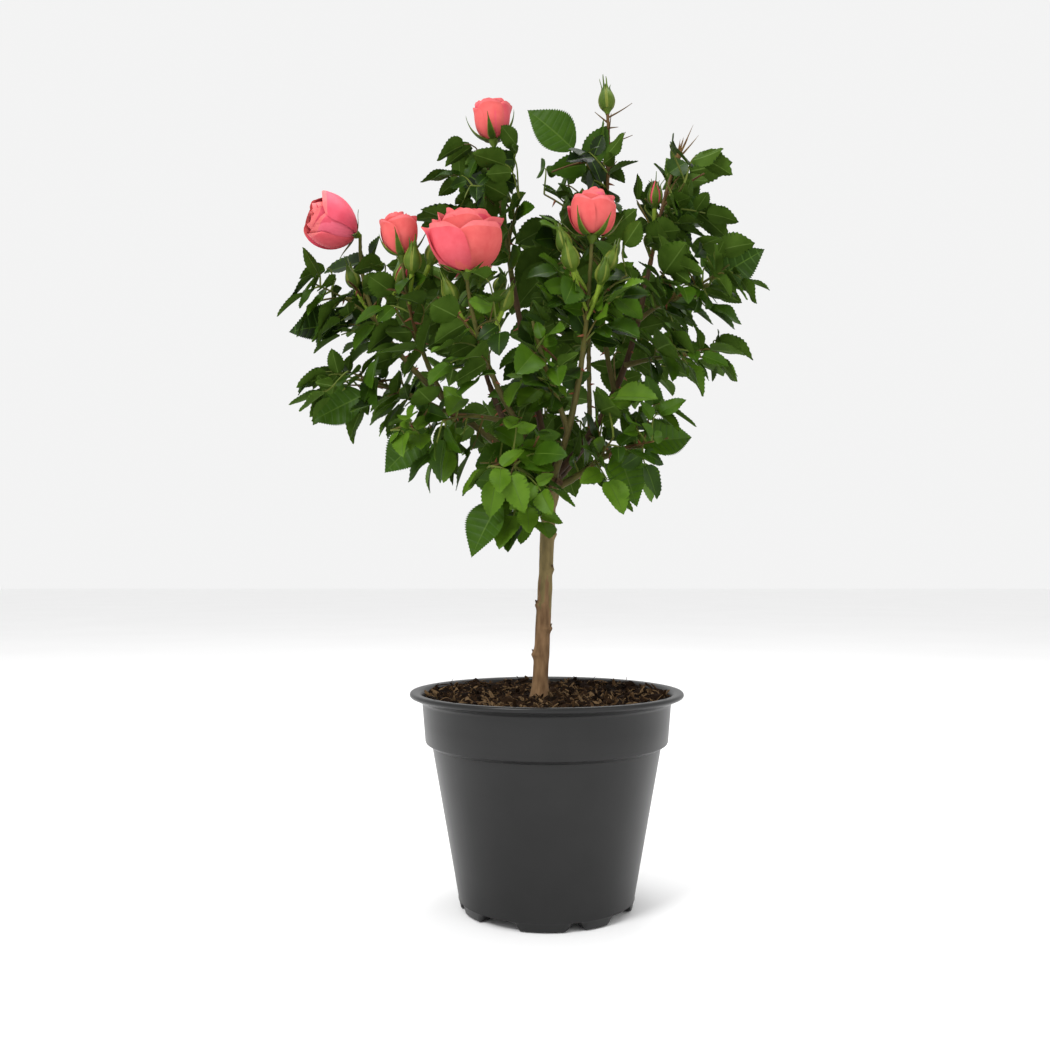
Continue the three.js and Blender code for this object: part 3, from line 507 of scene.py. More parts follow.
def finish(name, first, second, size, roughness, specular=0.12, bump=0.0, stretch=(1, 1, 1)):
    """A finish that drifts between two near colours in patches of a size in millimetres."""
    material = bpy.data.materials.new(name)
    material.use_nodes = True
    nodes, links = material.node_tree.nodes, material.node_tree.links

    def node(kind, **values):
        added = nodes.new("ShaderNode" + kind)
        for socket, value in values.items():
            added.inputs[socket.replace("_", " ")].default_value = value
        return added
    place = node("TexCoord")
    scale = node("Mapping", Scale=[1 / (size * MM * axis) for axis in stretch])
    grain = node("TexNoise", Scale=1, Detail=3)
    contrast = node("MapRange", From_Min=0.32, From_Max=0.68)
    mix = node("Mix")
    mix.data_type = "RGBA"
    mix.inputs[6].default_value = linear(*first)
    mix.inputs[7].default_value = linear(*second)
    shader = nodes["Principled BSDF"]
    shader.inputs["Roughness"].default_value = roughness
    shader.inputs["Specular IOR Level"].default_value = specular
    wires = [(place, "Object", scale, "Vector"), (scale, "Vector", grain, "Vector"),
             (grain, "Fac", contrast, "Value"), (contrast, "Result", mix, 0), (mix, 2, shader, "Base Color")]
    if bump:
        relief = node("Bump", Strength=bump, Distance=0.3 * MM)
        wires += [(grain, "Fac", relief, "Height"), (relief, "Normal", shader, "Normal")]
    for giver, output, taker, socket in wires:
        links.new(giver.outputs[output], taker.inputs[socket])
    return material


def finishes(*rows):
    return [finish(*row) for row in rows]


class Pile:
    """Corners, faces and finishes that become one mesh."""

    def __init__(self):
        self.places, self.faces, self.finishes, self.count = [], [], [], 0

    def add(self, places, faces, kind):
        places = np.asarray(places, float).reshape(-1, 3)
        self.places.append(places)
        self.faces += [[corner + self.count for corner in face] for face in faces]
        self.finishes.append(np.broadcast_to(kind, len(faces)))
        self.count += len(places)

    def mesh(self, name, finishes, slot, nodes=(), sharp=50):
        mesh = bpy.data.meshes.new(name)
        mesh.from_pydata((np.concatenate(self.places) * MM).tolist(), [], self.faces)
        mesh.polygons.foreach_set("material_index", np.concatenate(self.finishes).astype(np.int32))
        mesh.polygons.foreach_set("use_smooth", np.ones(len(self.faces), bool))
        for material in finishes:
            mesh.materials.append(material)
        mesh.update()
        mesh.set_sharp_from_angle(angle=math.radians(sharp))
        piece = bpy.data.objects.new(name, mesh)
        bpy.context.scene.collection.objects.link(piece)
        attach(piece, "root")
        if nodes:
            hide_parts(*nodes)


def ring_faces(rings, sides):
    """Faces of a closed tube of rings, outward if the rings turn left round the way on."""
    faces = []
    for i in range(rings - 1):
        for j in range(sides):
            a, b = i * sides + j, i * sides + (j + 1) % sides
            faces.append([a, b, b + sides, a + sides])
    start, end = range(sides), range((rings - 1) * sides, rings * sides)
    return faces + [list(reversed(start)), list(end)]


def tube(places, radii, sides):
    """Rings round a line, turned as little as can be along it, and the ways out to their corners."""
    places = np.asarray(places, float)
    on = unit(np.gradient(places, axis=0))
    first = [unit(np.cross(on[0], [0, 1, 0] if abs(on[0][1]) < 0.9 else [1, 0, 0]))]
    for way in on[1:]:
        first.append(unit(first[-1] - way * (first[-1] @ way)))
    first = np.array(first)
    angles = round_angles(sides)[None, :, None]
    spokes = first[:, None] * np.cos(angles) + np.cross(on, first)[:, None] * np.sin(angles)
    radii = np.broadcast_to(np.asarray(radii, float).T, (sides, len(places))).T
    return places[:, None] + spokes * radii[..., None], spokes


def add_tube(pile, places, radii, sides, kind, relief=0, grain=3, seed=0):
    rings, spokes = tube(places, radii, sides)
    if relief:
        rings = rings + spokes * (relief * noise(rings, grain, seed))[..., None]
    pile.add(rings, ring_faces(len(rings), sides), kind)


def add_spike(pile, root, way, length, radius, kind, droop=0.0):
    """A thorn or needle that tapers to a point."""
    shares = np.linspace(0, 1, 4)
    places = root + np.outer(shares * length, way) - np.outer(shares ** 2 * droop * length, UP)
    add_tube(pile, places, radius * (1 - shares) ** 0.8 + 0.06, 5, kind)


def turned(profile, sides):
    """A profile of radius and height turned round +Z."""
    radii, heights = np.asarray(profile, float).T[..., None]
    angles = round_angles(sides)
    return np.stack([radii * np.cos(angles), radii * np.sin(angles), heights + 0 * angles], axis=-1)


def placed(places, base, axis, spin=0.0):
    """Local places with +Z along the axis, set on the base."""
    side = unit(np.cross(axis, [0.3, 1, 0.1]))
    other = np.cross(axis, side)
    c, s = math.cos(spin), math.sin(spin)
    basis = np.array([side * c + other * s, other * c - side * s, axis])
    return np.asarray(places) @ basis + base


def add_turned(pile, profile, sides, base, axis, kind, spin=0.0):
    rings = placed(turned(profile, sides), base, axis, spin)
    pile.add(rings, ring_faces(len(rings), sides), kind)


def lens_faces(rows, columns):
    """Faces of a thin closed blade of two layers that share their edges, and each one's layer and strip."""
    upper = np.arange(rows * columns).reshape(rows, columns)
    lower = upper.copy()
    lower[1:-1, 1:-1] = rows * columns + np.arange((rows - 2) * (columns - 2)).reshape(rows - 2, columns - 2)
    faces = []
    for grid, order in ((upper, 1), (lower, -1)):
        corners = np.stack([grid[:-1, :-1], grid[1:, :-1], grid[1:, 1:], grid[:-1, 1:]], axis=-1)
        faces += corners.reshape(-1, 4)[:, ::order].tolist()
    strips = np.argwhere(upper[1:, 1:] > 0)
    return faces, np.repeat([0, 1], len(strips)), np.tile(strips, (2, 1))


def lens(surface, thickness):
    """Corners of a closed blade from a grid of places on its upper face."""
    crossed = np.cross(np.gradient(surface, axis=0), np.gradient(surface, axis=1))
    normals = crossed / np.maximum(lengths(crossed)[..., None], 1e-9)
    inner = (surface - normals * thickness)[1:-1, 1:-1].reshape(-1, 3)
    return np.concatenate([surface.reshape(-1, 3), inner])


# Leaves
LEAF_COLUMNS = np.array([-1, -0.52, -0.035, 0.035, 0.52, 1])
LEAF_ROWS, LEAD_ROWS, VEIN_STEP, VEIN_SKEW = 21, 49, 6, 0.4
LEAF_GRID = lens_faces(LEAF_ROWS, len(LEAF_COLUMNS))
LEAD_GRID = lens_faces(LEAD_ROWS, len(LEAF_COLUMNS))
LEAF_THICKNESS = 0.4
# Heights between which the leaves' tints darken upwards as painted shade, and the tints there
PAINTED_SHADE_HEIGHTS, PAINTED_SHADE_TINTS = (280, 510), (4.6, 1.4)
# Breadth of a tooth and of the notch before it, and how far each leans on
TEETH, TEETH_LEAN = (1.03, 0.94), (0.28, -0.12)
# Ranges of a leaflet's fold, bend, wave, start of the wave, nod and roll
LEAF_RANGES = [(0.08, 0.46), (-0.02, 0.26), (0.2, 0.9), (0, 6), (-0.22, 0.22), (-0.38, 0.38)]
TINTS = 6
UNDERSIDE, RIB, RIB_UNDER, VEIN = range(TINTS, TINTS + 4)


def leaflet_blade(leaf, leaflet, count, skew):
    """A toothed leaflet, folded on its rib, bent along it and quilted between veins that skew forwards."""
    chance = draws(len(LEAF_RANGES) + 1, leaf.cane.seed, leaf.number, 300 + leaflet.key)
    fold, bend, wave, start, nod, roll = [lerp(*ends, share) for ends, share in zip(LEAF_RANGES, chance[1:])]
    length, columns = leaflet.length, LEAF_COLUMNS
    edge = np.abs(columns) == 1
    rows = np.linspace(0, 1, count)
    even = np.arange(count) % 2 == 0
    half = rows ** 0.55 * (1 - rows) ** (0.9 + 0.4 * skew)
    half *= 0.47 * leaflet.width / half.max()
    half[[0, -1]] = 0.35, 0.12
    tooth = np.where(even, *TEETH)
    tooth[[0, 1, -1]] = 1
    y = half[:, None] * columns * np.where(edge, tooth[:, None], 1)
    ahead = np.where(even, *TEETH_LEAN) * length / count
    ahead[[0, -1]] = 0
    x = np.maximum(1.2, rows * length)[:, None] + np.where(edge, ahead[:, None], 0)
    x = x + (0.1 + skew) * np.abs(y) * (1 - rows[:, None])
    quilt = np.where(even, 0.22, -0.16)
    if skew:
        quilt = -0.3 * np.cos(np.arange(count) * 2 * math.pi / VEIN_STEP)
    z = fold * np.abs(y) - bend * length * rows[:, None] ** 2 + quilt[:, None] * (np.abs(columns) == 0.52)
    z = z + wave * np.sin(rows * 9 + start)[:, None] * columns ** 2 - 0.1 * (np.abs(columns) < 0.1)
    lift = LEAF_FOLD * math.sin(leaflet.swing) + nod
    onward = unit(leaflet.onward + leaflet.normal * lift)
    side = unit(np.cross(leaflet.normal, onward))
    normal = np.cross(onward, side)
    c, s = math.cos(roll), math.sin(roll)
    side, normal = side * c + normal * s, normal * c - side * s
    surface = leaflet.base + x[..., None] * onward + y[..., None] * side + z[..., None] * normal
    return lens(surface, LEAF_THICKNESS)


def leaf_tone_and_shade(leaf):
    """Sprays low in the crown are lighter and high ones darker, a painted shade; the random spread and the
    few lighter young leaves are their own tone. Each leaf is one tint.
    """
    height = leaf.rib.at(1)[2]
    pick = draw(leaf.cane.seed, leaf.number, 40)
    # Painted shade: the tint darkens with height; the random pick is the leaves' own tone.
    shade = lerp(*PAINTED_SHADE_TINTS, ramp(height, *PAINTED_SHADE_HEIGHTS)) + lerp(-2, 2, pick)
    if draw(leaf.cane.seed, leaf.number, 41) > 0.93:
        shade += 2
    return int(np.clip(round(shade), 0, TINTS - 1))


def add_leaf(pile, twigs, leaf):
    # One tint per leaf, from its own tone and a painted shade that darkens with height.
    tone_and_shade = leaf_tone_and_shade(leaf)
    for leaflet in leaf.leaflets:
        large = leaf.lead and leaflet.key == 0
        count, skew = (LEAD_ROWS, VEIN_SKEW) if large else (LEAF_ROWS, 0)
        faces, layers, strips = LEAD_GRID if large else LEAF_GRID
        kinds = np.where(layers == 1, UNDERSIDE, tone_and_shade)
        if large:
            veins = (strips[:, 0] % VEIN_STEP == 0) & (strips[:, 0] > 2) & (layers == 0)
            kinds = np.where(veins, VEIN, kinds)
        kinds = np.where(strips[:, 1] == 2, np.where(layers == 1, RIB_UNDER, RIB), kinds)
        pile.add(leaflet_blade(leaf, leaflet, count, skew), faces, kinds)
    shares = np.linspace(0, 1, 9)
    kind = PETIOLE if leaf.fine else PETIOLE_DARK
    add_tube(twigs, leaf.rib.at(shares), lerp(0.75, 0.42, shares), 5, kind)


# Roses and buds
PETAL_GRID, SEPAL_GRID = (13, 13), (13, 6)
PETAL_FACES, PETAL_LAYERS, PETAL_STRIPS = lens_faces(*PETAL_GRID)
SEPAL_FACES, SEPAL_LAYERS, SEPAL_STRIPS = lens_faces(*SEPAL_GRID)
# Points along a petal's or sepal's path, and the turn of a flower on its axis
PATH_STEPS = np.linspace(0, 1, 41)
SPIN = 6.28
SEPALS = 5
# Thickness of a petal, of a rose's sepal and of a sepal round a bud
PETAL_THICKNESS, SEPAL_THICKNESS, WRAP_THICKNESS = 0.3, 0.35, 0.4


def arch(start, length, angles, roll=0.0):
    """Radius and height along a blade: angles from the axis at base, middle and tip, and a rolled rim."""
    steps = PATH_STEPS
    tilt = (1 - steps) ** 2 * angles[0] + 2 * steps * (1 - steps) * angles[1] + steps ** 2 * angles[2]
    tilt = np.radians(tilt + roll * ramp(steps, 0.76, 1) ** 1.5)
    ways = np.stack([np.sin(tilt), np.cos(tilt)])
    run = np.cumsum((ways[:, 1:] + ways[:, :-1]) / 2, axis=1) / (len(steps) - 1)
    return np.array(start)[:, None] + length * np.concatenate([[[0], [0]], run], axis=1)


def blade(azimuth, path, half, cup, grid, outline, top=0.0, frill=0.0, phase=0.0, tuck=0.0):
    """A blade round +Z on a path of radius and height.

    `cup` flattens it, `top` rounds its end, `frill` waves its rim and `tuck` sets one side in.
    """
    v = np.linspace(0, 1, grid[0])[:, None]
    u = np.linspace(-1, 1, grid[1])
    u = (np.sign(u) * (1 - (1 - np.abs(u)) ** 1.4))[None, :]
    point = 0.012 * mound(u, 0, 0.25) + 0.014 * np.sin(4 * u + phase)
    reach = v * (1 - top * (np.abs(u) ** 2.4 - point / 0.16) * v ** 3)
    radius, height = [np.interp(reach, PATH_STEPS, line) for line in path]
    bow = cup * np.maximum(radius, 0.45 * half)
    turn = np.clip(u * half * outline(v) / bow, -1.9, 1.9)
    ripple = np.sin(5 * u + phase) * (0.4 + 0.6 * np.abs(u)) + 0.2 * np.sin(11 * u + 2 * phase)
    wave = frill * v ** 5 * ripple
    swell = 0.22 * tuck * np.sin(4 * u + 2 * phase) * np.sin(math.pi * v)
    x = radius - bow * (1 - np.cos(turn)) + wave + tuck * u * v + swell
    y = bow * np.sin(turn)
    z = height + 0.6 * wave
    c, s = math.cos(math.radians(azimuth)), math.sin(math.radians(azimuth))
    return np.stack([x * c - y * s, x * s + y * c, z], axis=-1)


def petal_outline(v):
    rising = np.sin(ramp(v, 0, 0.62) * math.pi / 2) ** 0.8
    return (0.3 + 0.7 * rising) * (1 - 0.3 * ramp(v, 0.66, 1) ** 2.6)


def sepal_outline(v):
    rising = 0.55 + 0.45 * np.sin(ramp(v, 0, 0.22) * math.pi / 2)
    return rising * (1 - ramp(v, 0.2, 0.82) ** 1.2 * 0.86) * (1 - 0.6 * ramp(v, 0.86, 1))


def add_blade(pile, local, base, axis, spin, faces, kinds, thickness):
    pile.add(lens(placed(local, base, axis, spin), thickness), faces, kinds)


# Whorls from the outermost in: count, length, half width, angles, rim roll, foot radius, frill
WHORLS = {
    "open": [
        (5, 42, 20, (92, 10, -4), 34, 4.4, 0.8), (5, 41, 18.5, (79, 5, -6), 30, 3.6, 0.8),
        (5, 39.5, 16, (65, 0, -6), 24, 3.0, 0.7), (5, 38.5, 13.5, (50, -3, -7), 18, 2.4, 0.6),
        (5, 37.5, 11, (35, -4, -8), 14, 1.8, 0.5), (4, 36.5, 8, (21, -3, -8), 10, 1.2, 0.4),
        (3, 35, 5, (9, -2, -8), 6, 0.6, 0.3)],
    "half": [
        (4, 28, 14, (72, -12, 2), 24, 3.6, 0.6), (4, 28, 12.5, (58, -12, -1), 18, 2.8, 0.5),
        (4, 28, 10, (43, -10, -5), 12, 2.2, 0.4), (4, 27.5, 7.5, (27, -8, -7), 8, 1.4, 0.3),
        (3, 27, 4.6, (11, -4, -8), 4, 0.7, 0.2)],
}
PETAL_DEEP, PETAL_MAIN, PETAL_PALE, PETAL_CORAL, PETAL_EDGE, PETAL_WARM = range(6)
GREEN_BUD, GREEN_SEPAL, GREEN_INSIDE, DRY, GREEN_EDGE = range(5)


def sepal_kinds(main):
    """Outer face in the sepal's green with a pale rim, inner face greyer."""
    kinds = np.where(SEPAL_LAYERS == 1, main, GREEN_INSIDE)
    rim = (SEPAL_STRIPS[:, 1] == 0) | (SEPAL_STRIPS[:, 1] == SEPAL_GRID[1] - 2)
    return np.where(rim & (SEPAL_STRIPS[:, 0] < SEPAL_GRID[0] - 5), GREEN_EDGE, kinds)


# Radius and height of a rose's hip, of a closed bud from its pedicel to its neck, and of a spent flower
HIP = np.array([(0.01, -1), (1.5, -0.8), (1.9, 0.5), (2.9, 2), (3.5, 3.6), (3.6, 5), (2.6, 6), (0.01, 6.4)])
BUD = np.array([
    (0.01, -1.2), (1.6, -1), (2.0, 0.4), (3.0, 1.8), (3.9, 3.2), (4.6, 4.6), (5.5, 6.6), (6.0, 8.8),
    (5.9, 11), (5.2, 13.4), (4.1, 15.8), (2.9, 18), (1.9, 20), (1.2, 22), (0.6, 23.6), (0.01, 24.6)])
SPENT = [(0.01, -1), (1.4, -0.8), (2.2, 2), (2.6, 4.5), (1.9, 6.5), (0.01, 7)]
# Angles of the sepals under a rose: at the base, then the ranges at the middle and tip
SEPAL_ANGLES = {"open": (106, (34, 56), (40, 100)), "half": (84, (8, 30), (0, 70))}


def add_rose(petals, greens, flower, size, axis, coral, spread):
    """A rose of whorled petals over a hip and five sepals."""
    seed, base, kind = flower.seed, flower.base, flower.kind
    spin = SPIN * draw(seed, 1)
    shut = max(0, 1 - spread)
    for whorl, (count, length, half, angles, roll, foot, frill) in enumerate(WHORLS[kind]):
        for i in range(count):
            chance = draws(8, seed, 60 + 10 * whorl + i)
            tilted = (spread * angles[0] + lerp(-6, 6, chance[0]), angles[1] + lerp(-5, 5, chance[1]),
                      angles[2] - 140 * shut + lerp(-9, 9, chance[2]))
            start = np.array([foot, 5.2 + 0.25 * whorl]) * size
            path = arch(start, length * size * lerp(0.94, 1.05, chance[3]), tilted,
                        roll * lerp(0.2, 1.8, chance[4]) * (1 - 4 * shut))
            local = blade(360 * (i + lerp(-0.14, 0.14, chance[5])) / count + 41 * whorl, path,
                          half * size * lerp(0.9, 1.08, chance[6]), lerp(0.98, 1.12, chance[7]),
                          PETAL_GRID, petal_outline, 0.1, frill * size, SPIN * chance[0],
                          lerp(0.06, 0.2, chance[4]) * half * size)
            tone = PETAL_DEEP if whorl > 3 else PETAL_PALE if chance[1] < 0.35 else PETAL_MAIN
            kinds = np.full(len(PETAL_FACES), tone)
            if whorl < 2 and chance[2] < 2 * coral:
                kinds[PETAL_LAYERS == 1] = PETAL_CORAL if chance[2] < coral else PETAL_WARM
            kinds[PETAL_STRIPS[:, 0] == PETAL_GRID[0] - 2] = PETAL_EDGE
            add_blade(petals, local, base, axis, spin, PETAL_FACES, kinds, PETAL_THICKNESS)
    add_turned(greens, HIP * size, 14, base, axis, GREEN_BUD, spin)
    root, middle, tip = SEPAL_ANGLES[kind]
    for i in range(SEPALS):
        chance = draws(5, seed, 180 + i)
        angles = (root * spread, lerp(*middle, chance[0]), lerp(*tip, chance[1]))
        path = arch(np.array([3.2, 4.6]) * size, lerp(20, 27, chance[3]) * size, angles)
        turn = 360 / SEPALS * i + lerp(-10, 10, chance[2])
        local = blade(turn, path, 3 * size, 1.15, SEPAL_GRID, sepal_outline)
        add_blade(greens, local, base, axis, spin, SEPAL_FACES, sepal_kinds(GREEN_SEPAL), SEPAL_THICKNESS)


def add_bud(petals, greens, flower, size, pink):
    """A closed bud: a teardrop wrapped in five sepals with long tips."""
    seed, base, axis = flower.seed, flower.base, flower.axis
    spin = SPIN * draw(seed, 1)
    if pink:
        add_turned(petals, BUD[5:] * size, 20, base, axis, PETAL_MAIN, spin)
        add_turned(greens, BUD[:7] * size, 20, base, axis, GREEN_BUD, spin)
    else:
        add_turned(greens, BUD * size, 20, base, axis, GREEN_BUD, spin)
    for i in range(SEPALS):
        chance = draws(5, seed, 80 + i)
        spread = lerp(0, 2.6, chance[0] ** 2) + (lerp(2, 7, chance[1]) if pink else 0)
        tip = lerp(24.5, 32, chance[3]) if chance[2] > 0.35 else 24.5
        along = np.concatenate([BUD[4:13], [(1.2 + 0.3 * spread, 22.5), (0.9 + spread, tip)]])
        along[:, 0] += 0.35 + spread * np.linspace(0, 1, len(along)) ** 2 * 0.6
        run = runs(along)
        steps = run[-1] * PATH_STEPS
        path = [np.interp(steps, run, line) * size for line in along.T]
        wide = np.interp(steps, run, np.append(BUD[4:13, 0], [1.0, 0.5])) / 6.0
        turn = 360 / SEPALS * i + lerp(-5, 5, chance[4])
        local = blade(turn, path, (3.4 if pink else 4.2) * size, 1.12, SEPAL_GRID,
                      lambda v: np.interp(v, PATH_STEPS, wide))
        kinds = sepal_kinds(GREEN_SEPAL if i % 2 else GREEN_BUD)
        add_blade(greens, local, base, axis, spin, SEPAL_FACES, kinds, WRAP_THICKNESS)


def add_spent(greens, flower):
    """What is left of a flower: a dry hip with dry tips round it."""
    base, axis = flower.base, flower.axis
    for i in range(9):
        way = unit(axis + 0.75 * ray(40 * i + 20 * draw(5, i), 0) * draw(6, i))
        add_spike(greens, base, way, lerp(12, 24, draw(7, i)), 0.9, DRY, -0.1)
    add_turned(greens, SPENT, 12, base, axis, DRY)


# Canes, twigs and thorns
# How far the end of a cane turns aside under its bloom
NODS = {"left_outer": (12, 0, 12)}
CANE_OLD, CANE_GREEN, THORN = range(3)
PETIOLE, PETIOLE_DARK, STEM, PEDICEL, TWIG_RED, TWIG_THORN = range(6)
OLD_CANES = ("top_right", "top_left", "back_right", "back_left")
CANE_SIDES, BOUGH_ROWS, STEM_ROWS = 12, 40, 50
# Distance between the joints of a cane, and between the thorns of a bough, a stem and a twig
JOINT_STEP = 17
BOUGH_THORNS, STEM_THORNS, TWIG_THORNS = 13, 16, 15


def add_thorns(pile, curve, radius, start, end, step, seed, kind):
    length = runs(curve.at(np.linspace(start, end, 30)))[-1]
    for i in range(int(length / step)):
        share = lerp(start, end, (i + draw(seed, 700 + i)) * step / length)
        on = curve.tangent(share)
        side = unit(np.cross(on, [0.2, 1, 0.3]))
        turn = 2 * math.pi * draw(seed, 740 + i)
        way = side * math.cos(turn) + np.cross(on, side) * math.sin(turn)
        root = curve.at(share) + way * radius(share) * 0.7
        add_spike(pile, root, unit(way - on * 0.15), lerp(3, 5.2, draw(seed, 780 + i)), 0.9, kind, 0.12)


def cane_places(cane, shares):
    """Places along a cane, whose end may turn aside under its bloom."""
    aside = ramp(np.asarray(shares), 0.7, 1) ** 2
    return cane.curve.at(shares) + aside[..., None] * np.array(NODS.get(cane.name, (0, 0, 0)))


def add_cane(boughs, stems, index):
    """A cane from its seat: the bare part is bough, the part inside the mass is stem."""
    cane, seed = CANES[index], CANES[index].seed
    shares = np.append(np.linspace(0, cane.entry, BOUGH_ROWS), np.linspace(cane.entry, 1, STEM_ROWS)[1:])
    places = cane_places(cane, shares)
    run = runs(places)
    radii = cane.radius(shares) * (1 + 0.45 * np.exp(-run / 5))
    for i in range(3, int(run[-1] / JOINT_STEP)):
        radii = radii + 0.32 * mound(run, JOINT_STEP * i + 6 * draw(seed, 600 + i), 1.6)
    rings, spokes = tube(places, radii, CANE_SIDES)
    relief = 0.22 * noise(rings, 2.2, index) + 0.15 * noise(rings * [1, 1, 0.3], 1.1, 9)
    rings = rings + spokes * relief[..., None]
    boughs.add(rings[:BOUGH_ROWS], ring_faces(BOUGH_ROWS, CANE_SIDES),
               CANE_OLD if cane.name in OLD_CANES else CANE_GREEN)
    stems.add(rings[BOUGH_ROWS - 1:], ring_faces(STEM_ROWS, CANE_SIDES),
              STEM if cane.flower != "bud" else TWIG_RED)
    add_thorns(boughs, cane.curve, cane.radius, 0.12, cane.entry, BOUGH_THORNS, seed, THORN)
    add_thorns(stems, cane.curve, cane.radius, cane.entry + 0.03, 0.85, STEM_THORNS, seed + 1, TWIG_THORN)
    for number, twig in enumerate(cane.twigs):
        along = np.linspace(0, 1, 14)
        add_tube(stems, twig.at(along), lerp(1.1, 0.6, along), 7, TWIG_RED if number % 2 else STEM, 0.12, 1.5)
        add_thorns(stems, twig, lambda share: 0.8, 0.15, 0.9, TWIG_THORNS, seed + 50 + number, TWIG_THORN)


# Trunk: rows and sides of its mesh, and the place, way and length of each stub on its head
TRUNK_GRID = (170, 36)
TRUNK_STUBS = [
    (0.9, -60, 25, 15), (0.95, -130, 40, 14), (0.99, -20, 55, 13), (0.88, 150, 20, 14), (0.97, 70, 45, 14)]
BARK_LOW, BARK_HIGH, BARK_KNOB = range(3)


def add_trunk(pile):
    rows, sides = TRUNK_GRID
    shares = np.linspace(TRUNK_CUT, 1, rows)
    angles = round_angles(sides)
    spokes = np.stack([np.cos(angles), np.sin(angles), 0 * angles], axis=-1)
    radii = np.array([trunk_radius(share, np.degrees(angles)) for share in shares])
    places = TRUNK_LINE.at(shares)[:, None] + spokes * radii[..., None]
    relief = noise(places * [1, 1, 0.18], 1.5, 3) * 0.28 + noise(places * [1, 1, 0.4], 4, 4) * 0.35
    knob = mound(shares, TRUNK_HEAD[1], 0.09)[:, None]
    relief = relief + knob * (1.3 * noise(places, 5, 5) + 0.7 * noise(places, 2.4, 6))
    for middle, facing, _ in TRUNK_BUDS:
        band = mound(shares, middle, 0.006)[:, None]
        relief = relief + 0.35 * band * (0.5 + 0.5 * np.cos(angles - math.radians(facing)))
    places = places + spokes * relief[..., None]
    mottle = 0.2 * noise(places[:-1].reshape(-1, 3) * [1, 1, 0.14], 2.5, 8)
    height = np.repeat(shares[:-1], sides) + mottle
    kinds = np.where(height > 0.92, BARK_KNOB, np.where(height > 0.45, BARK_HIGH, BARK_LOW))
    pile.add(places, ring_faces(rows, sides), np.append(kinds, [BARK_LOW, BARK_KNOB]))
    along = np.linspace(0, 1, 8)
    for i, (share, turn, lift, length) in enumerate(TRUNK_STUBS):
        stub = TRUNK_LINE.at(share) + np.outer(along * length, ray(turn, lift))
        add_tube(pile, stub, 2.6 - 0.5 * along + 0.5 * (along > 0.9), 12, BARK_KNOB, 0.35, 1.6, 20 + i)
    for middle, facing, growth in TRUNK_BUDS:
        way = ray(facing, 20)
        root = TRUNK_LINE.at(middle) + way * (TRUNK_RADII[1] + growth * 0.6)
        add_spike(pile, root, unit(way + UP * 0.8), 2.6, 1.3, BARK_KNOB)


# Pot and soil
def pot_profile():
    """Radius and height round the pot's section, from the middle of its underside out, up and back in."""
    def wall(height):
        return FOOT_RADIUS + WALL_SLOPE * height
    return [
        (0.01, 0), (18, 0), (19.2, 7.5), (49.6, 7.5), (50.2, 6.8), (51, 0.3), (51.6, 0), (58.4, 0),
        (59.4, 0.3), (60.1, 1), (wall(5.6), 5.6), (wall(6.2) + 0.35, 6.2),
        *[(wall(height), height) for height in (7, 30, 60, 90, 110)], (wall(111.6) + 0.1, 111.6),
        (82.6, 113.4), (83.9, 114.3), (84.3, 115.4), (85.3, 128), (86.3, 140.5), (86.6, 141.7),
        (87.6, 142.6), (92.9, 145.2), (94.2, 145.7), (94.85, 146.4), (95, 147.2), (94.8, 148.2),
        (94.2, 148.8), (93.2, 149), (89.2, 148.7), (88.2, 148.2), (87.3, 147), (84.6, 142.5), (83.4, 128),
        (82.3, 116), (82, 114.6), (77.7, 112), (68, 60), (59.9, 10.4), (59, 10), (0.01, 10),
    ]


def add_pot(pile):
    edges = []
    for repeat in range(4):
        for middle, width in NOTCHES:
            start = (middle - width / 2 + 90 * repeat - 90) % 360
            edges.append((start, start + width))
    angles = list(np.arange(0, 360, 2.5))
    for start, end in edges:
        angles += [edge + NOTCH_RAMP * share for edge in (start, end) for share in np.linspace(-0.5, 0.5, 5)]
    angles = np.unique(np.round(np.mod(angles, 360), 3))
    cut = np.zeros(len(angles))
    for start, end in edges:
        inside = (end - start) / 2 - np.abs(np.mod(angles - (start + end) / 2 + 180, 360) - 180)
        cut = np.maximum(cut, np.clip(inside / NOTCH_RAMP + 0.5, 0, 1))
    cut = cut * cut * (3 - 2 * cut)
    profile = np.array(pot_profile())
    radii = np.repeat(profile[:, :1], len(angles), axis=1)
    heights = np.repeat(profile[:, 1:], len(angles), axis=1)
    foot = (profile[:, 0] > 49.9) & (profile[:, 1] < NOTCH_HEIGHT)
    heights[foot] += cut * (NOTCH_HEIGHT - heights[foot])
    turn = np.radians(angles)
    places = np.stack([radii * np.cos(turn), radii * np.sin(turn), heights], axis=-1)
    pile.add(places, ring_faces(len(profile), len(angles)), 0)


def ground(spot):
    """Height of the soil: its lumps, level round the trunk, its bank and its crumbs."""
    out = np.hypot(spot[..., 0], spot[..., 1])
    fade = ramp(out, 17, 38)
    height, breadth = SOIL_LUMP
    lumps = height * fade * np.sin(spot[..., 0] / breadth + 1) * np.sin(spot[..., 1] / breadth + 2)
    bank = SOIL_BANK[0] * mound(out, SOIL_RADIUS, SOIL_BANK[1])
    crumbs = 0.7 * np.abs(noise(spot * [1, 1, 0], 4, 32)) + 0.5 * noise(spot * [1, 1, 0], 1.9, 33)
    return SOIL_LEVEL - 0.3 + lumps + bank + crumbs


# Rings and sides of the soil's mesh, clods and chips on it, and radius and height of a clod of unit size
SOIL_GRID = (46, 150)
CLODS, CHIPS = 420, 1500
SOIL_DARK, SOIL_MID, CHIP_BROWN = range(3)
CLOD = np.array([(0.01, -0.7), (0.7, -0.5), (1, 0), (0.92, 0.35), (0.6, 0.68), (0.01, 0.8)])
# Half widths along a chip, and the corners of its section
CHIP_WIDTHS = np.array([0.35, 1, 0.9, 0.3])
CHIP_CORNERS = ((-1, -0.6), (0.9, -1), (1, 0.7), (-0.8, 1))


